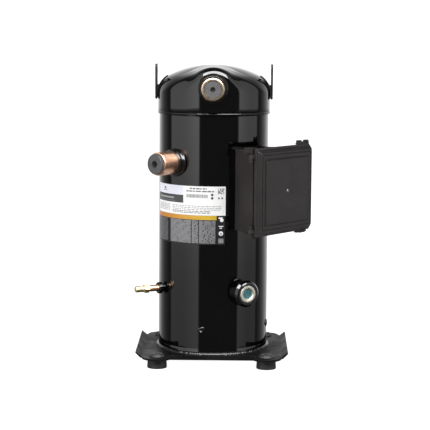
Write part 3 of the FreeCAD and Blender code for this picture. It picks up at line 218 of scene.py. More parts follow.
class Look:
    """A procedural material: a principled shader and the nodes that feed it."""

    def __init__(self, name, color, roughness, **sockets):
        self.material = bpy.data.materials.new(name)
        self.material.use_nodes = True
        self.tree = self.material.node_tree
        self.shader = self.tree.nodes["Principled BSDF"]
        self.set("Base Color", (*color, 1.0))
        self.set("Roughness", roughness)
        for socket, value in sockets.items():
            self.set(socket.replace("_", " "), value)
        self.place = self.node("ShaderNodeTexCoord").outputs["Object"]

    def set(self, socket, value):
        self.shader.inputs[socket].default_value = value

    def node(self, kind, **settings):
        made = self.tree.nodes.new(kind)
        for key, value in settings.items():
            setattr(made, key, value)
        return made

    def link(self, source, target):
        self.tree.links.new(source, target)

    def math(self, operation, a, b=0.0):
        made = self.node("ShaderNodeMath", operation=operation)
        for socket, value in zip(made.inputs, (a, b)):
            if isinstance(value, (int, float)):
                socket.default_value = value
            else:
                self.link(value, socket)
        return made.outputs[0]

    def axis(self, name):
        made = self.node("ShaderNodeSeparateXYZ")
        self.link(self.place, made.inputs[0])
        return made.outputs[name]

    def noise(self, size, detail=3.0, stretch=(1, 1, 1)):
        """Noise whose grains are about size millimetres."""
        scaled = self.node("ShaderNodeMapping")
        scaled.inputs["Scale"].default_value = stretch
        self.link(self.place, scaled.inputs["Vector"])
        made = self.node("ShaderNodeTexNoise")
        made.inputs["Scale"].default_value = 1000.0 / size
        made.inputs["Detail"].default_value = detail
        self.link(scaled.outputs[0], made.inputs["Vector"])
        return made.outputs["Fac"]

    def ramp(self, factor, *stops):
        """stops are (position, number) or (position, (r, g, b))."""
        made = self.node("ShaderNodeValToRGB")
        elements = made.color_ramp.elements
        while len(elements) < len(stops):
            elements.new(0.5)
        for element, (position, value) in zip(elements, stops):
            element.position = position
            rgb = value if isinstance(value, tuple) else (value, value, value)
            element.color = (*rgb, 1.0)
        self.link(factor, made.inputs["Fac"])
        return made.outputs["Color"]

    def mix(self, factor, a, b):
        made = self.node("ShaderNodeMix", data_type="RGBA")
        self.link(factor, made.inputs["Factor"])
        for socket, value in ((made.inputs[6], a), (made.inputs[7], b)):
            if isinstance(value, tuple):
                socket.default_value = (*value, 1.0)
            else:
                self.link(value, socket)
        return made.outputs[2]

    def bump(self, height, strength, distance):
        """distance is in mm; a second bump goes on top of the first."""
        made = self.node("ShaderNodeBump")
        made.inputs["Strength"].default_value = strength
        made.inputs["Distance"].default_value = distance * MM
        self.link(height, made.inputs["Height"])
        earlier = self.shader.inputs["Normal"].links
        if earlier:
            self.link(earlier[0].from_socket, made.inputs["Normal"])
        self.link(made.outputs[0], self.shader.inputs["Normal"])

    def feed(self, socket, source):
        self.link(source, self.shader.inputs[socket])


def enamel(name, color, roughness, peel=0.02, ior=1.5):
    """Baked black enamel: near mirror gloss, a trace of orange peel and faint dust."""
    look = Look(name, color, roughness, IOR=ior)
    dust = look.noise(34.0, 5.0)
    look.feed("Roughness", look.ramp(dust, (0.35, roughness), (0.75, roughness * 1.6)))
    tint = look.ramp(look.noise(60.0, 2.0), (0.3, color), (0.7, tuple(c * 1.5 for c in color)))
    look.feed("Base Color", tint)
    look.bump(look.noise(90.0, 1.0), peel, 6.0)
    look.bump(look.noise(2.6, 2.0), peel, 0.12)
    return look.material


def collar_enamel():
    """Enamel over a brazed joint, with heat-browned copper showing through in a fine grain."""
    look = Look("collar_enamel", (0.004, 0.0035, 0.0035), 0.14, IOR=1.5)
    grain = look.noise(5.0, 4.0)
    look.feed("Base Color", look.ramp(grain, (0.35, (0.002, 0.002, 0.002)),
                                      (0.62, (0.012, 0.008, 0.005))))
    look.feed("Roughness", look.ramp(grain, (0.3, 0.1), (0.7, 0.24)))
    look.bump(look.noise(3.0, 3.0), 0.18, 0.4)
    return look.material


def copper(name, light, rich, brown, dull=1.0):
    """Drawn copper: pale where it is bright, with soft browner patches."""
    look = Look(name, light, 0.3, Metallic=1.0)
    stain = look.noise(26.0, 3.0)
    bright = look.ramp(look.noise(9.0, 3.0), (0.3, light), (0.7, rich))
    look.feed("Base Color", look.mix(look.ramp(stain, (0.42, 0.0), (0.68, 0.75)), bright, brown))
    look.feed("Roughness", look.ramp(stain, (0.35, 0.26 * dull), (0.75, 0.4 * dull)))
    look.bump(look.noise(1.1, 2.0, (0.25, 0.25, 1.0)), 0.06, 0.08)
    return look.material


def brass():
    """Turned brass: fine machining marks and a dull film in places."""
    look = Look("turned_brass", (0.88, 0.72, 0.38), 0.3, Metallic=1.0)
    dull = look.noise(9.0, 4.0)
    look.feed("Base Color", look.ramp(dull, (0.3, (0.95, 0.82, 0.48)), (0.72, (0.76, 0.6, 0.3))))
    look.feed("Roughness", look.ramp(dull, (0.3, 0.28), (0.75, 0.42)))
    look.bump(look.noise(0.7, 2.0), 0.12, 0.05)
    return look.material


def metal(name, color, roughness):
    """Bare metal with a fine grain and uneven wear."""
    look = Look(name, color, roughness, Metallic=1.0)
    wear = look.noise(16.0, 5.0)
    dark = tuple(c * 0.75 for c in color)
    look.feed("Base Color", look.ramp(wear, (0.3, dark), (0.7, color)))
    look.feed("Roughness", look.ramp(wear, (0.3, roughness * 1.4), (0.7, roughness)))
    look.bump(look.noise(1.0, 3.0), 0.1, 0.1)
    return look.material


def iron():
    """Grey cast iron: a coarse sandy skin with machined, brighter patches."""
    look = Look("grey_iron_casting", (0.2, 0.2, 0.21), 0.55, Metallic=0.8)
    sand = look.noise(2.2, 5.0)
    look.feed("Base Color", look.ramp(look.noise(22.0, 4.0), (0.35, (0.13, 0.13, 0.14)),
                                      (0.7, (0.28, 0.28, 0.29))))
    look.feed("Roughness", look.ramp(sand, (0.3, 0.45), (0.7, 0.7)))
    look.bump(sand, 0.4, 0.3)
    return look.material


def rubber(name, color, roughness, grain=1.4):
    """Moulded rubber: a fine skin, a chalky bloom and no sharp glints."""
    look = Look(name, color, roughness, IOR=1.45)
    chalk = look.noise(12.0, 5.0)
    pale = tuple(c * 1.35 for c in color)
    look.feed("Base Color", look.ramp(chalk, (0.35, color), (0.75, pale)))
    look.feed("Roughness", look.ramp(chalk, (0.3, roughness * 0.85), (0.75, roughness)))
    look.bump(look.noise(grain, 4.0), 0.22, 0.15)
    return look.material


def plastic(name, color, roughness, texture=0.9, ior=1.2):
    """Moulded plastic with an etched texture and slightly uneven gloss."""
    look = Look(name, color, roughness, IOR=ior)
    flow = look.noise(40.0, 3.0)
    warm = (color[0] * 1.2, color[1] * 1.16, color[2] * 1.15)
    look.feed("Base Color", look.ramp(flow, (0.3, color), (0.75, warm)))
    look.feed("Roughness", look.ramp(flow, (0.3, roughness * 0.9), (0.7, roughness * 1.1)))
    look.bump(look.noise(texture, 3.0), 0.25, 0.12)
    return look.material


def laminations(name, color):
    """Stacked sheets seen edge-on: fine level lines."""
    look = Look(name, color, 0.42, Metallic=0.9)
    sheets = look.math("SINE", look.math("MULTIPLY", look.axis("Z"), 12000.0))
    dark = tuple(c * 0.55 for c in color)
    look.feed("Base Color", look.ramp(look.math("ADD", sheets, 0.5), (0.2, dark), (0.9, color)))
    look.feed("Roughness", look.ramp(look.noise(10.0), (0.3, 0.35), (0.7, 0.5)))
    look.bump(sheets, 0.4, 0.2)
    return look.material


def windings():
    """Bundled enamelled wire: strands that wander round the bore."""
    look = Look("winding_wire", (0.45, 0.16, 0.06), 0.3, Coat_Weight=0.6)
    strands = look.noise(2.4, 3.0, (1.0, 1.0, 3.0))
    look.feed("Base Color", look.ramp(strands, (0.35, (0.2, 0.06, 0.02)),
                                      (0.65, (0.6, 0.24, 0.09))))
    look.feed("Roughness", look.ramp(strands, (0.3, 0.45), (0.7, 0.25)))
    look.bump(strands, 0.7, 0.8)
    return look.material


def sight_lens():
    """The moisture indicator behind the sight glass: teal, mottled paler in places."""
    look = Look("sight_glass_indicator", (0.03, 0.16, 0.19), 0.3, IOR=1.45)
    mottle = look.noise(3.2, 4.0)
    look.feed("Base Color", look.ramp(mottle, (0.35, (0.014, 0.085, 0.1)),
                                      (0.7, (0.045, 0.2, 0.235))))
    look.feed("Roughness", look.ramp(mottle, (0.3, 0.3), (0.7, 0.5)))
    look.bump(look.noise(1.6, 3.0), 0.15, 0.15)
    return look.material


def film(name, color, roughness=0.35, spread=0.06):
    """Printed plastic film with a faint unevenness from the metal under it."""
    look = Look(name, color, roughness, IOR=1.46)
    fade = look.noise(18.0, 4.0)
    dark = tuple(c * (1 - spread) for c in color)
    look.feed("Base Color", look.ramp(fade, (0.35, dark), (0.65, color)))
    look.feed("Roughness", look.ramp(fade, (0.3, roughness), (0.7, roughness * 1.2)))
    look.bump(look.noise(45.0, 2.0), 0.04, 0.5)
    return look.material


def gold_stripe():
    """The caution stripe's ink: orange on the left, golden yellow on the right."""
    look = Look("label_gold", (0.62, 0.4, 0.03), 0.32, IOR=1.46)
    along = look.ramp(look.math("MULTIPLY", look.math("ADD", look.axis("X"), 0.1), 8.0),
                      (0.0, (0.42, 0.12, 0.02)), (0.4, (0.52, 0.25, 0.012)),
                      (0.75, (0.58, 0.38, 0.01)), (1.0, (0.42, 0.33, 0.004)))
    look.feed("Base Color", look.mix(look.ramp(look.noise(5.0, 4.0), (0.4, 0.0), (0.7, 0.3)),
                                     along, (0.72, 0.42, 0.09)))
    look.feed("Roughness", look.ramp(look.noise(9.0), (0.3, 0.3), (0.7, 0.42)))
    return look.material


LOOKS = {
    "shell_paint": enamel("shell_enamel", (0.001, 0.001, 0.0011), 0.05),
    "plate_paint": enamel("plate_enamel", (0.004, 0.004, 0.0041), 0.4, peel=0.08, ior=1.17),
    "copper": copper("copper_tube", (0.92, 0.62, 0.45), (0.84, 0.48, 0.31), (0.42, 0.19, 0.11)),
    "brass": brass(),
    "spring_steel": metal("bright_spring_steel", (0.72, 0.72, 0.73), 0.22),
    "stub_rubber": rubber("stub_plug_rubber", (0.05, 0.05, 0.05), 0.7),
    "mount_rubber": rubber("mount_rubber_black", (0.006, 0.006, 0.006), 0.6, grain=1.8),
    "zinc_steel": metal("zinc_plated_steel", (0.62, 0.63, 0.65), 0.3),
    "sleeve_steel": metal("black_phosphated_steel", (0.07, 0.07, 0.07), 0.5),
    "box_plastic": plastic("box_plastic_black", (0.03, 0.028, 0.028), 0.5),
    "block_plastic": plastic("block_phenolic", (0.06, 0.05, 0.042), 0.5, texture=1.6),
    "seal_rubber": rubber("seal_rubber_black", (0.012, 0.012, 0.012), 0.45),
    "sight_lens": sight_lens(),
    "label_film": film("label_white", (0.83, 0.83, 0.825)),
    "grey_iron": iron(),
    "machined_steel": metal("machined_steel_bright", (0.5, 0.5, 0.51), 0.28),
    "bearing_bronze": metal("bearing_bronze_bore", (0.66, 0.47, 0.25), 0.3),
    "motor_steel": laminations("motor_laminations", (0.33, 0.34, 0.37)),
    "rotor_metal": laminations("rotor_laminations", (0.5, 0.5, 0.52)),
    "winding_copper": windings(),
    "ring_aluminium": metal("machined_aluminium", (0.75, 0.75, 0.76), 0.3),
}


def dress_nodes():
    """Give every CAD node the finish of its slot, and two of them a finish of their own."""
    for name, obj in nodes.items():
        obj.data.materials.clear()
        obj.data.materials.append(LOOKS[slot_of[name]])
    nickel = metal("glass_ring_nickel", (0.4, 0.39, 0.34), 0.55)
    nodes["sight_glass_ring"].data.materials[0] = nickel
    zinc = metal("lid_screw_zinc", (0.16, 0.16, 0.165), 0.5)
    nodes["lid_screw"].data.materials[0] = zinc


# ---------------------------------------------------------------- top cap

# The dome is a wide crown with a tight knuckle. The bay is the raised front: seen
# from the front, an arc on top, a hollow flank on each side and level ends.

CROWN_TOP = 525.0
KNUCKLE_RADIUS = 36.0
KNUCKLE_HEIGHT = 474.5
KNUCKLE_REACH = CAP_RADIUS - KNUCKLE_RADIUS
BAY_TOP = 522.5
BAY_ARC = 45.0
BAY_EDGE = 95.0
BAY_LOW = 472.5
BAY_SHOULDER = BAY_ARC * math.sin(math.radians(38))
BAY_ROLL = 15.0
PLAIN_ROLL = 0.6
CAP_FOOT = 444.0


def circle_through(a, b, c):
    """The centre and radius of the circle through three points."""
    d = 2 * (a[0] * (b[1] - c[1]) + b[0] * (c[1] - a[1]) + c[0] * (a[1] - b[1]))
    sq = [p[0] ** 2 + p[1] ** 2 for p in (a, b, c)]
    x = (sq[0] * (b[1] - c[1]) + sq[1] * (c[1] - a[1]) + sq[2] * (a[1] - b[1])) / d
    y = (sq[0] * (c[0] - b[0]) + sq[1] * (a[0] - c[0]) + sq[2] * (b[0] - a[0])) / d
    return x, y, math.hypot(a[0] - x, a[1] - y)


def bay_flank():
    """The flank's circle, from the top arc to the level end, with a slight hollow."""
    start = (BAY_SHOULDER, BAY_TOP - BAY_ARC + math.sqrt(BAY_ARC ** 2 - BAY_SHOULDER ** 2))
    end = (BAY_EDGE, BAY_LOW)
    middle = ((start[0] + end[0]) / 2 - 2.5, (start[1] + end[1]) / 2 - 3.0)
    return circle_through(start, middle, end)


FLANK = bay_flank()
RISE = CROWN_TOP - KNUCKLE_HEIGHT
CROWN = ((KNUCKLE_REACH ** 2 + RISE ** 2 - KNUCKLE_RADIUS ** 2)
         / (2 * (RISE - KNUCKLE_RADIUS)))


def dome_height(reach):
    """The plain dome: a wide crown, tangent to a tight knuckle."""
    centre = CROWN_TOP - CROWN
    lean = math.atan2(KNUCKLE_REACH, KNUCKLE_HEIGHT - centre)
    if reach <= CROWN * math.sin(lean):
        return centre + math.sqrt(CROWN ** 2 - reach ** 2)
    inside = max(0.0, KNUCKLE_RADIUS ** 2 - (reach - KNUCKLE_REACH) ** 2)
    return KNUCKLE_HEIGHT + math.sqrt(inside)


def bell_height(x):
    """The raised front's outline, seen from the front."""
    x = abs(x)
    if x <= BAY_SHOULDER:
        return BAY_TOP - BAY_ARC + math.sqrt(BAY_ARC ** 2 - x ** 2)
    if x >= BAY_EDGE:
        return BAY_LOW
    return FLANK[1] - math.sqrt(FLANK[2] ** 2 - (x - FLANK[0]) ** 2)


def ease(value, low, high):
    """0 below low, 1 above high and a smooth step between them."""
    t = min(1.0, max(0.0, (value - low) / (high - low)))
    return t * t * (3 - 2 * t)


def cap_height(x, y):
    """The cap's top: the dome with the front ridge blended into it."""
    reach = min(math.hypot(x, y), CAP_RADIUS)
    plain = dome_height(reach)
    if y >= 0:
        return plain
    ridge = bell_height(x)
    blend = 1.0 + 19.0 * ease(-y, 20.0, 60.0)
    near = max(blend - abs(plain - ridge), 0.0)
    return max(plain, ridge) + near * near / (4 * blend)


def cap_column(out, wall_steps=6, roll_steps=12, inner_steps=34):
    """(reach, height) points in one direction: up the wall, round the roll, to the crown."""
    edge = bell_height(CAP_RADIUS * out.x) if out.y < 0 else BAY_LOW
    roll = PLAIN_ROLL + (BAY_ROLL - PLAIN_ROLL) * ease(edge, BAY_LOW + 2, BAY_LOW + 26)
    bore = 95.2
    low = CAP_FOOT + 0.8

    def height(reach):
        return cap_height(reach * out.x, reach * out.y)

    column = [(bore, CAP_FOOT + 8.6), (bore, CAP_FOOT), (CAP_RADIUS - 0.8, CAP_FOOT)]
    rise = height(CAP_RADIUS) - roll - low
    column += [(CAP_RADIUS, low + rise * k / wall_steps) for k in range(wall_steps)]
    for k in range(roll_steps + 1):
        turn = math.pi / 2 * k / roll_steps
        reach = CAP_RADIUS - roll * (1 - math.cos(turn))
        column.append((reach, height(reach) - roll * (1 - math.sin(turn))))
    for k in range(1, inner_steps):
        reach = (CAP_RADIUS - roll) * (1 - (k / inner_steps) ** 1.35)
        column.append((reach, height(reach)))
    return column


def make_top_cap(count=320):
    """The pressed cap on a polar grid, with a rolled edge along the bay's front."""
    bm = bmesh.new()
    columns = []
    for i in range(count):
        azimuth = 2 * math.pi * i / count
        out = Vector((math.sin(azimuth), -math.cos(azimuth), 0))
        columns.append([bm.verts.new(out * r + Vector((0, 0, z))) for r, z in cap_column(out)])
    top = bm.verts.new((0, 0, CROWN_TOP))
    for i, column in enumerate(columns):
        following = columns[(i + 1) % count]
        for k in range(len(column) - 1):
            bm.faces.new((column[k], following[k], following[k + 1], column[k + 1]))
        bm.faces.new((column[-1], following[-1], top))
    bm.faces.new([column[0] for column in columns])
    piece("cap_shell", bm, [LOOKS["shell_paint"]], "root", ["top_cap"],
          sharp=50.0)


LUG_HALF_WIDTH = 17.0
LUG_THICKNESS = 3.1
LUG_OUTER = 103.6
LUG_FOLD = 464.0
LUG_TOP = 525.5
LUG_EYE_HEIGHT = 511.0
LUG_EYE_RADIUS = 8.0


def on_knuckle(clearance, turn):
    """A point over the cap's knuckle, as (x, height)."""
    reach = KNUCKLE_RADIUS + clearance
    a = math.radians(turn)
    return KNUCKLE_REACH + reach * math.cos(a), KNUCKLE_HEIGHT + reach * math.sin(a)


def lug_inner_leg(bm, sign):
    """The folded strip from the lug's outer leg inwards, hugging the cap's shoulder."""
    under = [on_knuckle(0.25, turn) for turn in range(4, 59, 3)]
    skin = [on_knuckle(1.3, turn) for turn in range(57, 21, -3)]
    hugging = set(under + skin)
    back = LUG_OUTER - LUG_THICKNESS
    wall = [(back, skin[-1][1] - 1.0), (back, LUG_FOLD + 6.0)]
    fold = [(99.7, LUG_FOLD + 1.5), (101.0, LUG_FOLD), (LUG_OUTER - 1.5, LUG_FOLD),
            (LUG_OUTER, LUG_FOLD + 1.5), (LUG_OUTER, LUG_FOLD + 6.0)]
    section = fold + wall[::-1] + skin[::-1] + under[::-1]

    def bent(x, z, y):
        return math.sqrt(x * x - y * y) if (x, z) in hugging else x

    stations = [LUG_HALF_WIDTH * k / 4 for k in range(-4, 5)]
    loft(bm, [[Vector((sign * bent(x, z, y), y, z)) for x, z in section] for y in stations])


def lug_outer_leg(bm, sign):
    """The upright strip with the lifting eye in it."""
    low, corner = LUG_FOLD + 6.0, 5.0
    rim = rounded([(-LUG_HALF_WIDTH, low), (LUG_HALF_WIDTH, low),
                   (LUG_HALF_WIDTH, LUG_TOP, corner), (-LUG_HALF_WIDTH, LUG_TOP, corner)], 6)
    eye = []
    for y, z in rim:
        turn = math.atan2(z - LUG_EYE_HEIGHT, y)
        eye.append((LUG_EYE_RADIUS * math.cos(turn),
                    LUG_EYE_HEIGHT + LUG_EYE_RADIUS * math.sin(turn)))
    back = LUG_OUTER - LUG_THICKNESS
    loops = [(LUG_OUTER, rim), (LUG_OUTER, eye), (back, eye), (back, rim)]
    made = loft(bm, [[Vector((sign * x, y, z)) for y, z in loop] for x, loop in loops], False)
    for k in range(len(rim)):
        n = (k + 1) % len(rim)
        bm.faces.new((made[-1][k], made[-1][n], made[0][n], made[0][k]))


def make_lug(side, sign, look):
    """A lifting lug: one folded strip on the cap's shoulder."""
    bm = bmesh.new()
    lug_inner_leg(bm, sign)
    lug_outer_leg(bm, sign)
    lug = piece("lug_strip_" + side, bm, [look], "root",
                ["lifting_lug_" + side])
    soften(lug, 0.5, angle=40.0)


# ---------------------------------------------------------------- welds and collars

SEAM_MIDDLE = 441.5


def ripple(angle, size):
    """A weld's ripples: even waves with slow, uneven swells."""
    seed = Vector((math.sin(angle) * 14, math.cos(angle) * 14, 3.1))
    wave = math.sin(angle * 190 + 2.2 * noise.noise(seed))
    return size * (0.45 * wave + 1.3 * noise.noise(seed * 2.3))


def lap(angle):
    """The seam's overlap, a thick lump a little left of the front."""
    azimuth = math.degrees(angle if angle < math.pi else angle - 2 * math.pi)
    return ease(azimuth, -20.0, -15.0) * (1 - ease(azimuth, -6.0, -2.0))


def seam_wobble(angle, point):
    """The cap's seam: a low bead, thicker and taller at the lap."""
    reach, height = point
    share = max(0.0, reach - SHELL_RADIUS - 0.3) / 2.6
    extra = lap(angle) * (0.8 + 4.2 * abs(ripple(angle * 1.7, 0.4)))
    drop = (height - SEAM_MIDDLE) * 0.16 * lap(angle)
    return reach + share * (ripple(angle, 0.14) + extra), height + drop


def base_wobble(angle, point):
    """The bead on the base plate: ripples on its free face only."""
    reach, height = point
    share = ease(reach, 97.6, 100.5) * ease(height, 22.6, 23.6)
    return (reach + share * (ripple(angle, 0.45) - 0.3),
            height + share * (ripple(angle + 0.3, 0.35) - 0.3))


def spot_wobble(angle, point):
    """A plug weld's uneven rim."""
    return point[0] * (1 + 0.12 * math.sin(3 * angle + 0.7)), point[1]


def make_weld_beads():
    """The cap's seam, the base's bead and the four plug welds."""
    bm = bmesh.new()
    seam = rounded([(96.6, 438.2), (97.6, 438.6), (99.5, 439.8, 1.2), (100.2, 442.6, 2.2),
                    (98.6, 443.9, 0.6), (96.6, 443.9)])
    turned(bm, seam, steps=720, wobble=seam_wobble)
    foot = rounded([(97.0, 22.6), (101.6, 22.55), (101.4, 24.3, 1.4), (100.0, 26.0, 1.5),
                    (98.4, 27.0, 0.8), (97.0, 27.1)], 4)
    turned(bm, foot, steps=720, wobble=base_wobble)
    spot = rounded([(0, 96.2), (6.6, 96.4), (5.8, 98.4, 1.4), (3.0, 99.3, 1.2),
                    (1.8, 98.3, 0.8), (0, 98.0)])
    for quarter in range(4):
        turned(bm, spot, aim(-11 + 90 * quarter, 66.0), 32, spot_wobble)
    over_base_bead = 40
    for face in bm.faces:
        face.material_index = int(face.calc_center_median().z < over_base_bead)
    bead_enamel = enamel("bead_enamel", (0.002, 0.002, 0.002), 0.09, peel=0.05, ior=1.34)
    piece("weld_beads", bm, [LOOKS["shell_paint"], bead_enamel], "root",
          ["welds"], sharp=60.0)


def make_collars(browned):
    """Brazing collars: a fillet on the shell, a groove and a rolled lip."""
    bm = bmesh.new()
    turned(bm, rounded([
        (19.05, 92.0), (23.2, 92.0), (23.2, 97.6, 0.4), (26.2, 98.3, 0.6), (24.4, 100.2, 1.2),
        (22.9, 102.4, 1.0), (22.9, 108.2, 1.4), (21.6, 110.0, 0.9), (19.05, 110.0)]),
        aim(0, DISCHARGE_HEIGHT))
    piece("discharge_collar_braze", bm, [browned], "root",
          ["discharge_collar"], sharp=40.0)
    bm = bmesh.new()
    turned(bm, rounded([
        (19.75, 93.5), (23.5, 93.5), (24.4, 97.5, 1.0), (23.0, 100.5, 1.6),
        (21.6, 102.6, 1.2), (22.8, 104.4, 1.2), (22.8, 107.6, 1.6), (21.6, 109.6, 1.0),
        (19.75, 109.6)]), aim(SUCTION_AZIMUTH, SUCTION_HEIGHT))
    piece("suction_collar_braze", bm, [browned], "root",
          ["suction_collar"], sharp=40.0)


def make_stubs(copper_look, highlight_pale_copper):
    """The copper stubs, with rolled lips round the plugs."""
    bm = bmesh.new()
    turned(bm, rounded([
        (14.65, 93.2), (18.65, 93.2), (18.65, 110.5), (19.0, 110.5), (19.0, 132.0, 4.0),
        (19.8, 136.0, 2.0), (19.8, 142.0, 4.9), (14.7, 142.0), (14.65, 141.0)], 12),
        aim(0, DISCHARGE_HEIGHT), 128)
    # The discharge stub wears a paler copy of the copper: a painted highlight that makes its lip's
    # reflections pale cream.
    piece("discharge_stub_copper", bm, [highlight_pale_copper], "root",
          ["discharge_stub"], sharp=40.0)
    bm = bmesh.new()
    turned(bm, rounded([
        (17.85, 93.5), (19.65, 93.5), (19.65, 112.5), (20.0, 112.5), (20.0, 142.6, 1.6),
        (17.85, 143.0, 0.4)], 6), aim(SUCTION_AZIMUTH, SUCTION_HEIGHT), 128)
    piece("suction_stub_copper", bm, [copper_look], "root",
          ["suction_stub"], sharp=40.0)


# ---------------------------------------------------------------- lid and latches

LID_HALF_WIDTH = 79.5
LID_LOW = 238.5
SKIRT_HIGH = 389.0
FACE_HIGH = 387.8
SKIRT_END = 157.5
LID_BACK = 150.0
GAP_END = 153.0
# The lid's material slots: the third is a near-black sheet, painted shade in the recess behind the
# rim; the fourth is a darker copy of the plastic, painted shade on the hinge side.
RIM, FACE, GAP_SHADE, SHADED_HINGE_SIDE = range(4)


def lid_ring(inset, reach):
    """The lid's outline at an inset: cut corners on the free side, small ones at the hinge."""
    left, right = -LID_HALF_WIDTH + inset, LID_HALF_WIDTH - inset
    low, high = LID_LOW + inset, (SKIRT_HIGH if reach < SKIRT_END else FACE_HIGH) - inset
    cut = max(0.5, 8.0 - inset * 0.6)
    small = max(0.4, 2.0 - inset * 0.1)
    outline = [(left + small, low), (right - cut, low), (right, low + cut),
               (right, high - cut), (right - cut, high), (left + small, high),
               (left, high - small), (left, low + small)]
    place = aim(BOX_AZIMUTH, 0.0, reach)
    return [place @ Vector((x, z, 0)) for x, z in outline]


def paint_lid(bm):
    """Matte upward faces, with painted shade: a near-black sheet in the recess behind the rim and
    a darker copy of the plastic on the side at the hinge.
    """
    bm.normal_update()
    bmesh.ops.recalc_face_normals(bm, faces=bm.faces)
    side, _, out = [column.to_3d() for column in list(aim(BOX_AZIMUTH, 0.0).col)[:3]]
    for face in bm.faces:
        reach = face.calc_center_median().dot(out)
        # Painted shade: the faces of the recess behind the rim get a near-black sheet.
        if LID_BACK - 0.5 < reach < GAP_END + 0.1:
            face.material_index = GAP_SHADE
        # Painted shade: faces on the hinge side get a darker copy of the plastic.
        elif face.normal.dot(side) < -0.6:
            face.material_index = SHADED_HINGE_SIDE
        else:
            face.material_index = FACE if face.normal.z > 0.6 else RIM


def make_lid(matte, gap, shaded):
    """The box's cover: stepped skirt, bevelled rim, groove and raised panel."""
    bm = bmesh.new()
    levels = [(9.5, 160.5), (9.5, LID_BACK), (1.2, LID_BACK), (1.2, GAP_END), (0.0, GAP_END),
              (0.0, 157.0), (1.6, 158.6), (2.6, 158.0), (3.6, 159.2), (5.2, 161.4), (6.0, 161.0),
              (7.4, 163.0), (10.4, 163.0), (10.4, 161.8), (11.8, 161.8), (11.8, 163.3),
              (17.6, 163.3), (17.6, 162.4), (19.0, 162.4), (19.0, 163.8), (20.5, 165.0)]
    loft(bm, [lid_ring(inset, reach) for inset, reach in levels])
    place = aim(BOX_AZIMUTH, 0.0)
    bar_height, bar_depth = 4.5, (164.0, 165.3)
    for left, low, wide in ((8, 352, 26), (4, 344, 30), (10, 336, 18), (-22, 281, 14),
                            (6, 277, 30), (10, 269, 24)):
        block(bm, place, (left, left + wide), (low, low + bar_height), bar_depth)
    paint_lid(bm)
    # gap and shaded carry painted shade: a near-black sheet for the recess and a darker plastic
    # for the hinge side.
    lid = piece("box_lid", bm, [LOOKS["box_plastic"], matte, gap, shaded],
                "lid", ["terminal_box_lid"])
    soften(lid, 0.3, angle=25.0)


def make_knuckles(hinge_across=-84.0, hinge_reach=149.5, length=6.0):
    """The lid's two hinge knuckles, round the pins, and the arms that hold them."""
    bm = bmesh.new()
    hoop = rounded([(2.08, 0), (3.8, 0, 0.4), (3.8, length, 0.4), (2.08, length)], 3)
    for low in (245.9, 372.1):
        pin = aim(BOX_AZIMUTH, low, hinge_reach, hinge_across).translation
        turned(bm, hoop, Matrix.Translation(pin), 48)
        block(bm, aim(BOX_AZIMUTH, 0.0), (-83.0, -77.0), (low, low + length), (150.6, 154.0))
    arms = piece("lid_knuckles", bm, [LOOKS["box_plastic"]], "lid",
                 sharp=35.0)
    soften(arms, 0.3, angle=40.0)


def make_latches():
    """The snap latches on the lid's free side, two humps above and one hook below."""
    bm = bmesh.new()
    place = aim(BOX_AZIMUTH, 0.0)
    for across, up, out in (
            ((40.0, 71.4), (389.0, 392.2), (150.2, 157.0)),
            ((41.0, 50.5), (392.0, 396.4), (150.6, 156.4)),
            ((43.5, 48.0), (392.0, 395.4), (156.0, 158.6)),
            ((61.5, 71.0), (392.0, 396.4), (150.6, 156.4)),
            ((64.0, 68.5), (392.0, 395.4), (156.0, 158.6)),
            ((51.0, 61.0), (392.0, 393.8), (151.0, 156.0)),
            ((39.0, 66.0), (234.9, 238.9), (150.2, 157.0)),
            ((45.0, 60.0), (234.5, 237.5), (156.0, 159.0))):
        block(bm, place, across, up, out)
    latches = piece("box_latches", bm, [LOOKS["box_plastic"]], "lid",
                    ["lid_latches"])
    soften(latches, 0.6, segments=3)


# ---------------------------------------------------------------- nameplate

LABEL_FACE = 97.28
LABEL_BACK = 97.03
INK_ROOT = 0.15     # how far a print's mesh reaches into the film
LABEL_LEFT = -74.8
LABEL_SPLIT = 267.6
PALE, DARK, GREY, LIGHT, WHITE, GOLD = range(6)


def patch(bm, span, height, ink, proud=0.02):
    """A printed field between two azimuths and two heights."""
    curved_block(bm, span, height, (LABEL_FACE - INK_ROOT, LABEL_FACE + proud), ink)


def dashes(bm, span, top, line, gap, count, ink, seed, longest):
    """Rows of plain dashes that stand for small print."""
    draw = random.Random(seed)
    for row in range(count):
        high = top - row * (line + gap)
        at = span[0]
        while at < span[1]:
            end = min(span[1], at + draw.uniform(0.3, 1.0) * longest)
            curved_block(bm, (at, end), (high - line, high), (LABEL_FACE - 0.1, LABEL_FACE + 0.03),
                         ink)
            at = end + draw.uniform(0.5, 1.2)


def curved_disc(bm, azimuth, height, radius, ink, proud=0.03):
    """A printed dot, bent round the shell."""
    steps = 20
    rings = []
    for reach in (LABEL_FACE - INK_ROOT, LABEL_FACE + proud):
        ring = []
        for k in range(steps):
            turn = 2 * math.pi * k / steps
            a = math.radians(azimuth) + radius * math.cos(turn) / LABEL_FACE
            ring.append(Vector((reach * math.sin(a), -reach * math.cos(a),
                                height + radius * math.sin(turn))))
        rings.append(ring)
    before = len(bm.faces)
    loft(bm, rings)
    paint(bm, before, ink)


def print_bar_code(bm, draw):
    """Made-up bars of random widths."""
    at = -28.0
    while at < -5.4:
        wide = draw.choice((0.28, 0.28, 0.5, 0.75))
        patch(bm, (at, at + wide), (298.0, 304.0), GREY, 0.03)
        at += wide + draw.choice((0.3, 0.45))


def print_square_pattern(bm, draw, cells=7, filled=0.62):
    """A made-up pattern of random squares."""
    for column in range(cells):
        for row in range(cells):
            if draw.random() < filled:
                left, low = 5.6 + column * 0.92, 304.8 + row * 1.42
                patch(bm, (left, left + 0.8), (low, low + 1.25), DARK, 0.03)


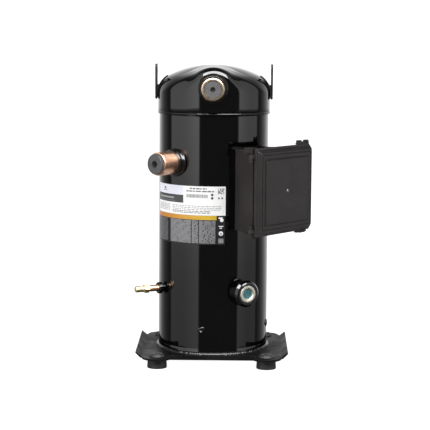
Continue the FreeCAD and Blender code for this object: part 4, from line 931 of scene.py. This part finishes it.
def print_signs(bm, azimuth=8.7):
    """Four plain signs of simple shapes, about 8 mm high, that mean nothing."""
    low = 256.6
    curved_disc(bm, azimuth + 0.8, low + 3.2, 3.2, WHITE)
    patch(bm, (azimuth - 2.6, azimuth + 1.6), (low + 5.6, low + 8.0), WHITE)
    low = 245.2
    patch(bm, (azimuth - 2.4, azimuth + 2.4), (low + 3.0, low + 4.6), WHITE)
    patch(bm, (azimuth - 1.4, azimuth + 1.0), (low, low + 1.4), WHITE)
    low = 232.6
    curved_disc(bm, azimuth, low + 4.0, 3.9, WHITE)
    curved_disc(bm, azimuth, low + 3.4, 1.5, DARK, 0.06)
    for k in range(4):
        low = 219.8 + k * 2.1
        patch(bm, (azimuth - 2.6, azimuth + 2.6), (low, low + 1.3), LIGHT)


def make_label_print(inks):
    """Generic print: a pale panel, a dark bar, dashes, a bar code and plain signs."""
    bm = bmesh.new()
    for span, height, ink, proud in (
            ((LABEL_LEFT, -31.6), (302.2, 317.8), PALE, 0.02),
            ((LABEL_LEFT, -31.6), (288.0, 301.8), DARK, 0.02),
            ((-70.0, -44.0), (294.2, 297.2), LIGHT, 0.04),
            ((-70.0, -42.0), (290.2, 291.6), GREY, 0.04),
            ((-62.5, -55.5), (307.2, 308.4), GREY, 0.04),
            ((-60.8, -57.4), (309.8, 313.2), GREY, 0.04)):
        patch(bm, span, height, ink, proud)
    dashes(bm, (-24.0, -6.0), 315.2, 2.6, 1.0, 1, GREY, 3, 5.0)
    dashes(bm, (-28.0, 1.5), 310.5, 2.3, 1.0, 1, GREY, 4, 6.0)
    draw = random.Random(8)
    print_bar_code(bm, draw)
    print_square_pattern(bm, draw)
    for azimuth, height, radius, ink in ((-0.4, 297.8, 2.3, DARK), (-0.4, 303.6, 2.3, DARK),
                                         (6.4, 297.8, 1.8, GREY), (9.8, 297.8, 1.8, GREY)):
        curved_disc(bm, azimuth, height, radius, ink)
    dashes(bm, (-72.0, -50.0), 284.6, 1.3, 1.3, 5, LIGHT, 5, 6.0)
    dashes(bm, (-46.0, 9.0), 284.0, 1.3, 1.7, 3, LIGHT, 6, 4.0)
    dashes(bm, (-46.0, -2.0), 275.0, 1.4, 1.2, 2, GREY, 7, 5.5)
    patch(bm, (LABEL_LEFT, 4.2), (259.8, 267.4), GOLD)
    for span, seed, longest, ink in (((-73.0, -53.5), 10, 9.0, GREY),
                                     ((-49.0, -22.6), 11, 26.0, LIGHT),
                                     ((-21.6, -14.8), 12, 8.0, LIGHT),
                                     ((-13.8, 3.0), 13, 9.0, LIGHT)):
        dashes(bm, span, 258.4, 1.1, 0.9, 20, ink, seed, longest)
    print_signs(bm)
    piece("nameplate_print", bm, inks, "root")


def make_nameplate():
    """A white film above and a dark film below, printed, on the shell's left front."""
    dark_film = film("label_dark", (0.012, 0.012, 0.013), 0.3, spread=0.3)
    bm = bmesh.new()
    curved_block(bm, (-75.0, 13.4), (LABEL_SPLIT, 318.0), (LABEL_BACK, LABEL_FACE), 0)
    curved_block(bm, (-75.0, 12.8), (216.7, LABEL_SPLIT), (LABEL_BACK, LABEL_FACE - 0.02), 1)
    piece("nameplate_film", bm, [LOOKS["label_film"], dark_film], "root",
          ["nameplate"])
    inks = [film("label_pale", (0.7, 0.72, 0.8)), film("label_ink", (0.05, 0.05, 0.054)),
            film("label_grey", (0.15, 0.15, 0.16)), film("label_light", (0.3, 0.3, 0.31)),
            film("label_sign", (0.8, 0.8, 0.8)), gold_stripe()]
    make_label_print(inks)


# ---------------------------------------------------------------- stage and light

def make_world():
    """A dark studio with tall grey panels left and right, and a bright wall behind.

    The stops below are (degrees, radiance): azimuths from the front, or elevations.
    The camera itself sees plain white.
    """
    brightest, ambient, backdrop = 4.0, 0.11, 1.2
    world = bpy.data.worlds.new("studio")
    bpy.context.scene.world = world
    world.use_nodes = True
    tree = world.node_tree
    tree.nodes.clear()

    def add(kind, **settings):
        made = tree.nodes.new(kind)
        for key, value in settings.items():
            setattr(made, key, value)
        return made

    def calc(operation, *values):
        made = add("ShaderNodeMath", operation=operation)
        for socket, value in zip(made.inputs, values):
            if isinstance(value, (int, float)):
                socket.default_value = value
            else:
                tree.links.new(value, socket)
        return made.outputs[0]

    def ramp(factor, stops, low, high, scale):
        made = add("ShaderNodeValToRGB")
        elements = made.color_ramp.elements
        while len(elements) < len(stops):
            elements.new(0.5)
        for element, (at, value) in zip(elements, stops):
            element.position = (at - low) / (high - low)
            element.color = (value / scale,) * 3 + (1.0,)
        span = calc("DIVIDE", calc("SUBTRACT", factor, low), high - low)
        tree.links.new(span, made.inputs["Fac"])
        return calc("MULTIPLY", made.outputs["Color"], scale)

    way = add("ShaderNodeTexCoord").outputs["Generated"]
    parts = add("ShaderNodeSeparateXYZ")
    tree.links.new(way, parts.inputs[0])
    x, y, z = parts.outputs
    azimuth = calc("MULTIPLY", calc("ARCTAN2", x, calc("MULTIPLY", y, -1.0)), 180 / math.pi)
    elevation = calc("MULTIPLY", calc("ARCSINE", z), 180 / math.pi)
    panels = ramp(azimuth, [
        (-101, 0.0), (-97, 1.0), (-62, 1.4), (-31, 2.15), (-28, 0.0), (52.5, 0.0),
        (55, 1.6), (78, 1.0), (101, 0.75), (105, 0.0)], -180, 180, brightest)
    panel_fall = ramp(elevation, [
        (-90, 0.0), (-30, 0.06), (-16, 0.34), (-9.5, 0.46), (-4, 1.0), (45, 1.0), (62, 0.0)],
        -90, 90, 1.0)
    wall = ramp(azimuth, [
        (-180, 1.25), (-150, 1.2), (-137, 0.65), (-128, 0.32), (-119, 0.15), (-108, 0.0),
        (108, 0.0), (117, 0.15), (125, 0.36), (137, 0.75), (150, 1.3), (180, 1.25)],
        -180, 180, brightest)
    wall_fall = ramp(elevation, [
        (-90, 0.0), (-30, 0.1), (-9.5, 0.6), (-4, 1.0), (12, 1.0), (28, 0.62), (42, 0.25),
        (56, 0.06), (70, 0.0)], -90, 90, 1.0)
    total = calc("ADD", calc("MULTIPLY", panels, panel_fall),
                 calc("ADD", calc("MULTIPLY", wall, wall_fall), ambient))
    dark = add("ShaderNodeBackground")
    dark.inputs["Color"].default_value = (1, 1, 1, 1)
    tree.links.new(total, dark.inputs["Strength"])
    bright = add("ShaderNodeBackground")
    bright.inputs["Color"].default_value = (1, 1, 1, 1)
    bright.inputs["Strength"].default_value = backdrop
    choose = add("ShaderNodeMixShader")
    seen = add("ShaderNodeLightPath").outputs["Is Camera Ray"]
    tree.links.new(seen, choose.inputs[0])
    tree.links.new(dark.outputs[0], choose.inputs[1])
    tree.links.new(bright.outputs[0], choose.inputs[2])
    tree.links.new(choose.outputs[0], add("ShaderNodeOutputWorld").inputs[0])


def area_light(name, azimuth, elevation, distance, size, watts, glossy=True, diffuse=True):
    """A soft rectangular light that looks at the compressor's middle, in metres."""
    light = bpy.data.lights.new(name, "AREA")
    light.shape = "RECTANGLE"
    light.size, light.size_y = size
    light.energy = watts
    a, e = math.radians(azimuth), math.radians(elevation)
    away = Vector((math.sin(a) * math.cos(e), -math.cos(a) * math.cos(e), math.sin(e)))
    lamp = bpy.data.objects.new(name, light)
    middle = Vector((0, 0, 0.26))
    lamp.location = away * distance + middle
    lamp.rotation_euler = away.to_track_quat("Z", "Y").to_euler()
    lamp.visible_glossy = glossy
    lamp.visible_diffuse = diffuse
    bpy.context.scene.collection.objects.link(lamp)


def make_stage():
    """A plain pale floor that fades into the white surroundings."""
    bm = bmesh.new()
    steps = 96
    centre = bm.verts.new((0, 0, 0))
    last = None
    for radius in (0.6, 1.6, 4.0, 12.0):
        ring = [bm.verts.new((radius * math.sin(2 * math.pi * k / steps),
                              radius * math.cos(2 * math.pi * k / steps), 0))
                for k in range(steps)]
        for k in range(steps):
            n = (k + 1) % steps
            if last is None:
                bm.faces.new((centre, ring[n], ring[k]))
            else:
                bm.faces.new((last[k], last[n], ring[n], ring[k]))
        last = ring
    bmesh.ops.recalc_face_normals(bm, faces=bm.faces)
    mesh = bpy.data.meshes.new("floor")
    bm.to_mesh(mesh)
    bm.free()
    floor = bpy.data.objects.new("floor", mesh)
    look = Look("pale_floor", (0.3, 0.3, 0.3), 0.7, Emission_Strength=1.0)
    look.set("Emission Color", (1.0, 1.0, 1.0, 1.0))
    look.feed("Base Color", look.ramp(look.noise(900.0, 2.0), (0.3, 0.28), (0.7, 0.32)))
    mesh.materials.append(look.material)
    floor.visible_glossy = False
    bpy.context.scene.collection.objects.link(floor)


def make_camera():
    """The photograph's view: a long lens, slightly above the middle and almost level."""
    data = bpy.data.cameras.new("camera")
    data.lens = 127.4
    data.sensor_width = 36.0
    data.clip_end = 100.0
    camera = bpy.data.objects.new("camera", data)
    here = Vector((0.04, -2.7, 0.5967))
    there = Vector((0.003, 0.0, 0.2567))
    turn = (here - there).to_track_quat("Z", "Y").to_matrix().to_4x4()
    roll = Matrix.Rotation(math.radians(0.38), 4, "Z")
    camera.matrix_world = Matrix.Translation(here) @ turn @ roll
    bpy.context.scene.collection.objects.link(camera)
    bpy.context.scene.camera = camera


# ---------------------------------------------------------------- assembly

dress_nodes()
make_top_cap()
lug_enamel = enamel("lug_enamel", (0.006, 0.0055, 0.0055), 0.3, peel=0.04, ior=1.25)
make_lug("left", -1, lug_enamel)
make_lug("right", 1, lug_enamel)
make_weld_beads()
make_collars(collar_enamel())
# A paler, creamier copy of the copper for the discharge stub: a painted highlight on its lip's
# reflections.
highlight_pale_copper = copper("copper_pale_highlight", (0.95, 0.84, 0.68), (0.85, 0.66, 0.48), (0.35, 0.22, 0.14),
                     dull=0.8)
make_stubs(LOOKS["copper"], highlight_pale_copper)
# A darker copy of the box plastic: painted shade on the lid's hinge side and on the box body.
shaded_side_plastic = plastic("box_plastic_painted_side_shade", (0.021, 0.019, 0.0185), 0.5)
matte_plastic = plastic("box_plastic_dusty", (0.03, 0.028, 0.028), 0.6, ior=1.03)
# A near-black copy of the box plastic: painted shade for the recess behind the lid's rim.
gap_shade_plastic = plastic("box_plastic_gap_shade", (0.003, 0.003, 0.003), 0.7, ior=1.03)
# The box body wears the darker copy of the plastic too: painted shade.
nodes["terminal_box_body"].data.materials[0] = shaded_side_plastic
make_lid(matte_plastic, gap_shade_plastic, shaded_side_plastic)
make_knuckles()
make_latches()
make_nameplate()
soften_node("base_plate", 0.7)
soften_node("terminal_box_body", 0.6)
soften_node("valve_body", 0.4)
make_world()
make_stage()
area_light("key", 8, 49, 2.6, (4.0, 1.7), 400, diffuse=False)
area_light("overhead", 0, 80, 3.0, (5.0, 5.0), 70, glossy=False)
area_light("fill", -10, 20, 4.0, (3.0, 3.0), 26, glossy=False)
make_camera()
bpy.context.scene.view_settings.view_transform = "Standard"
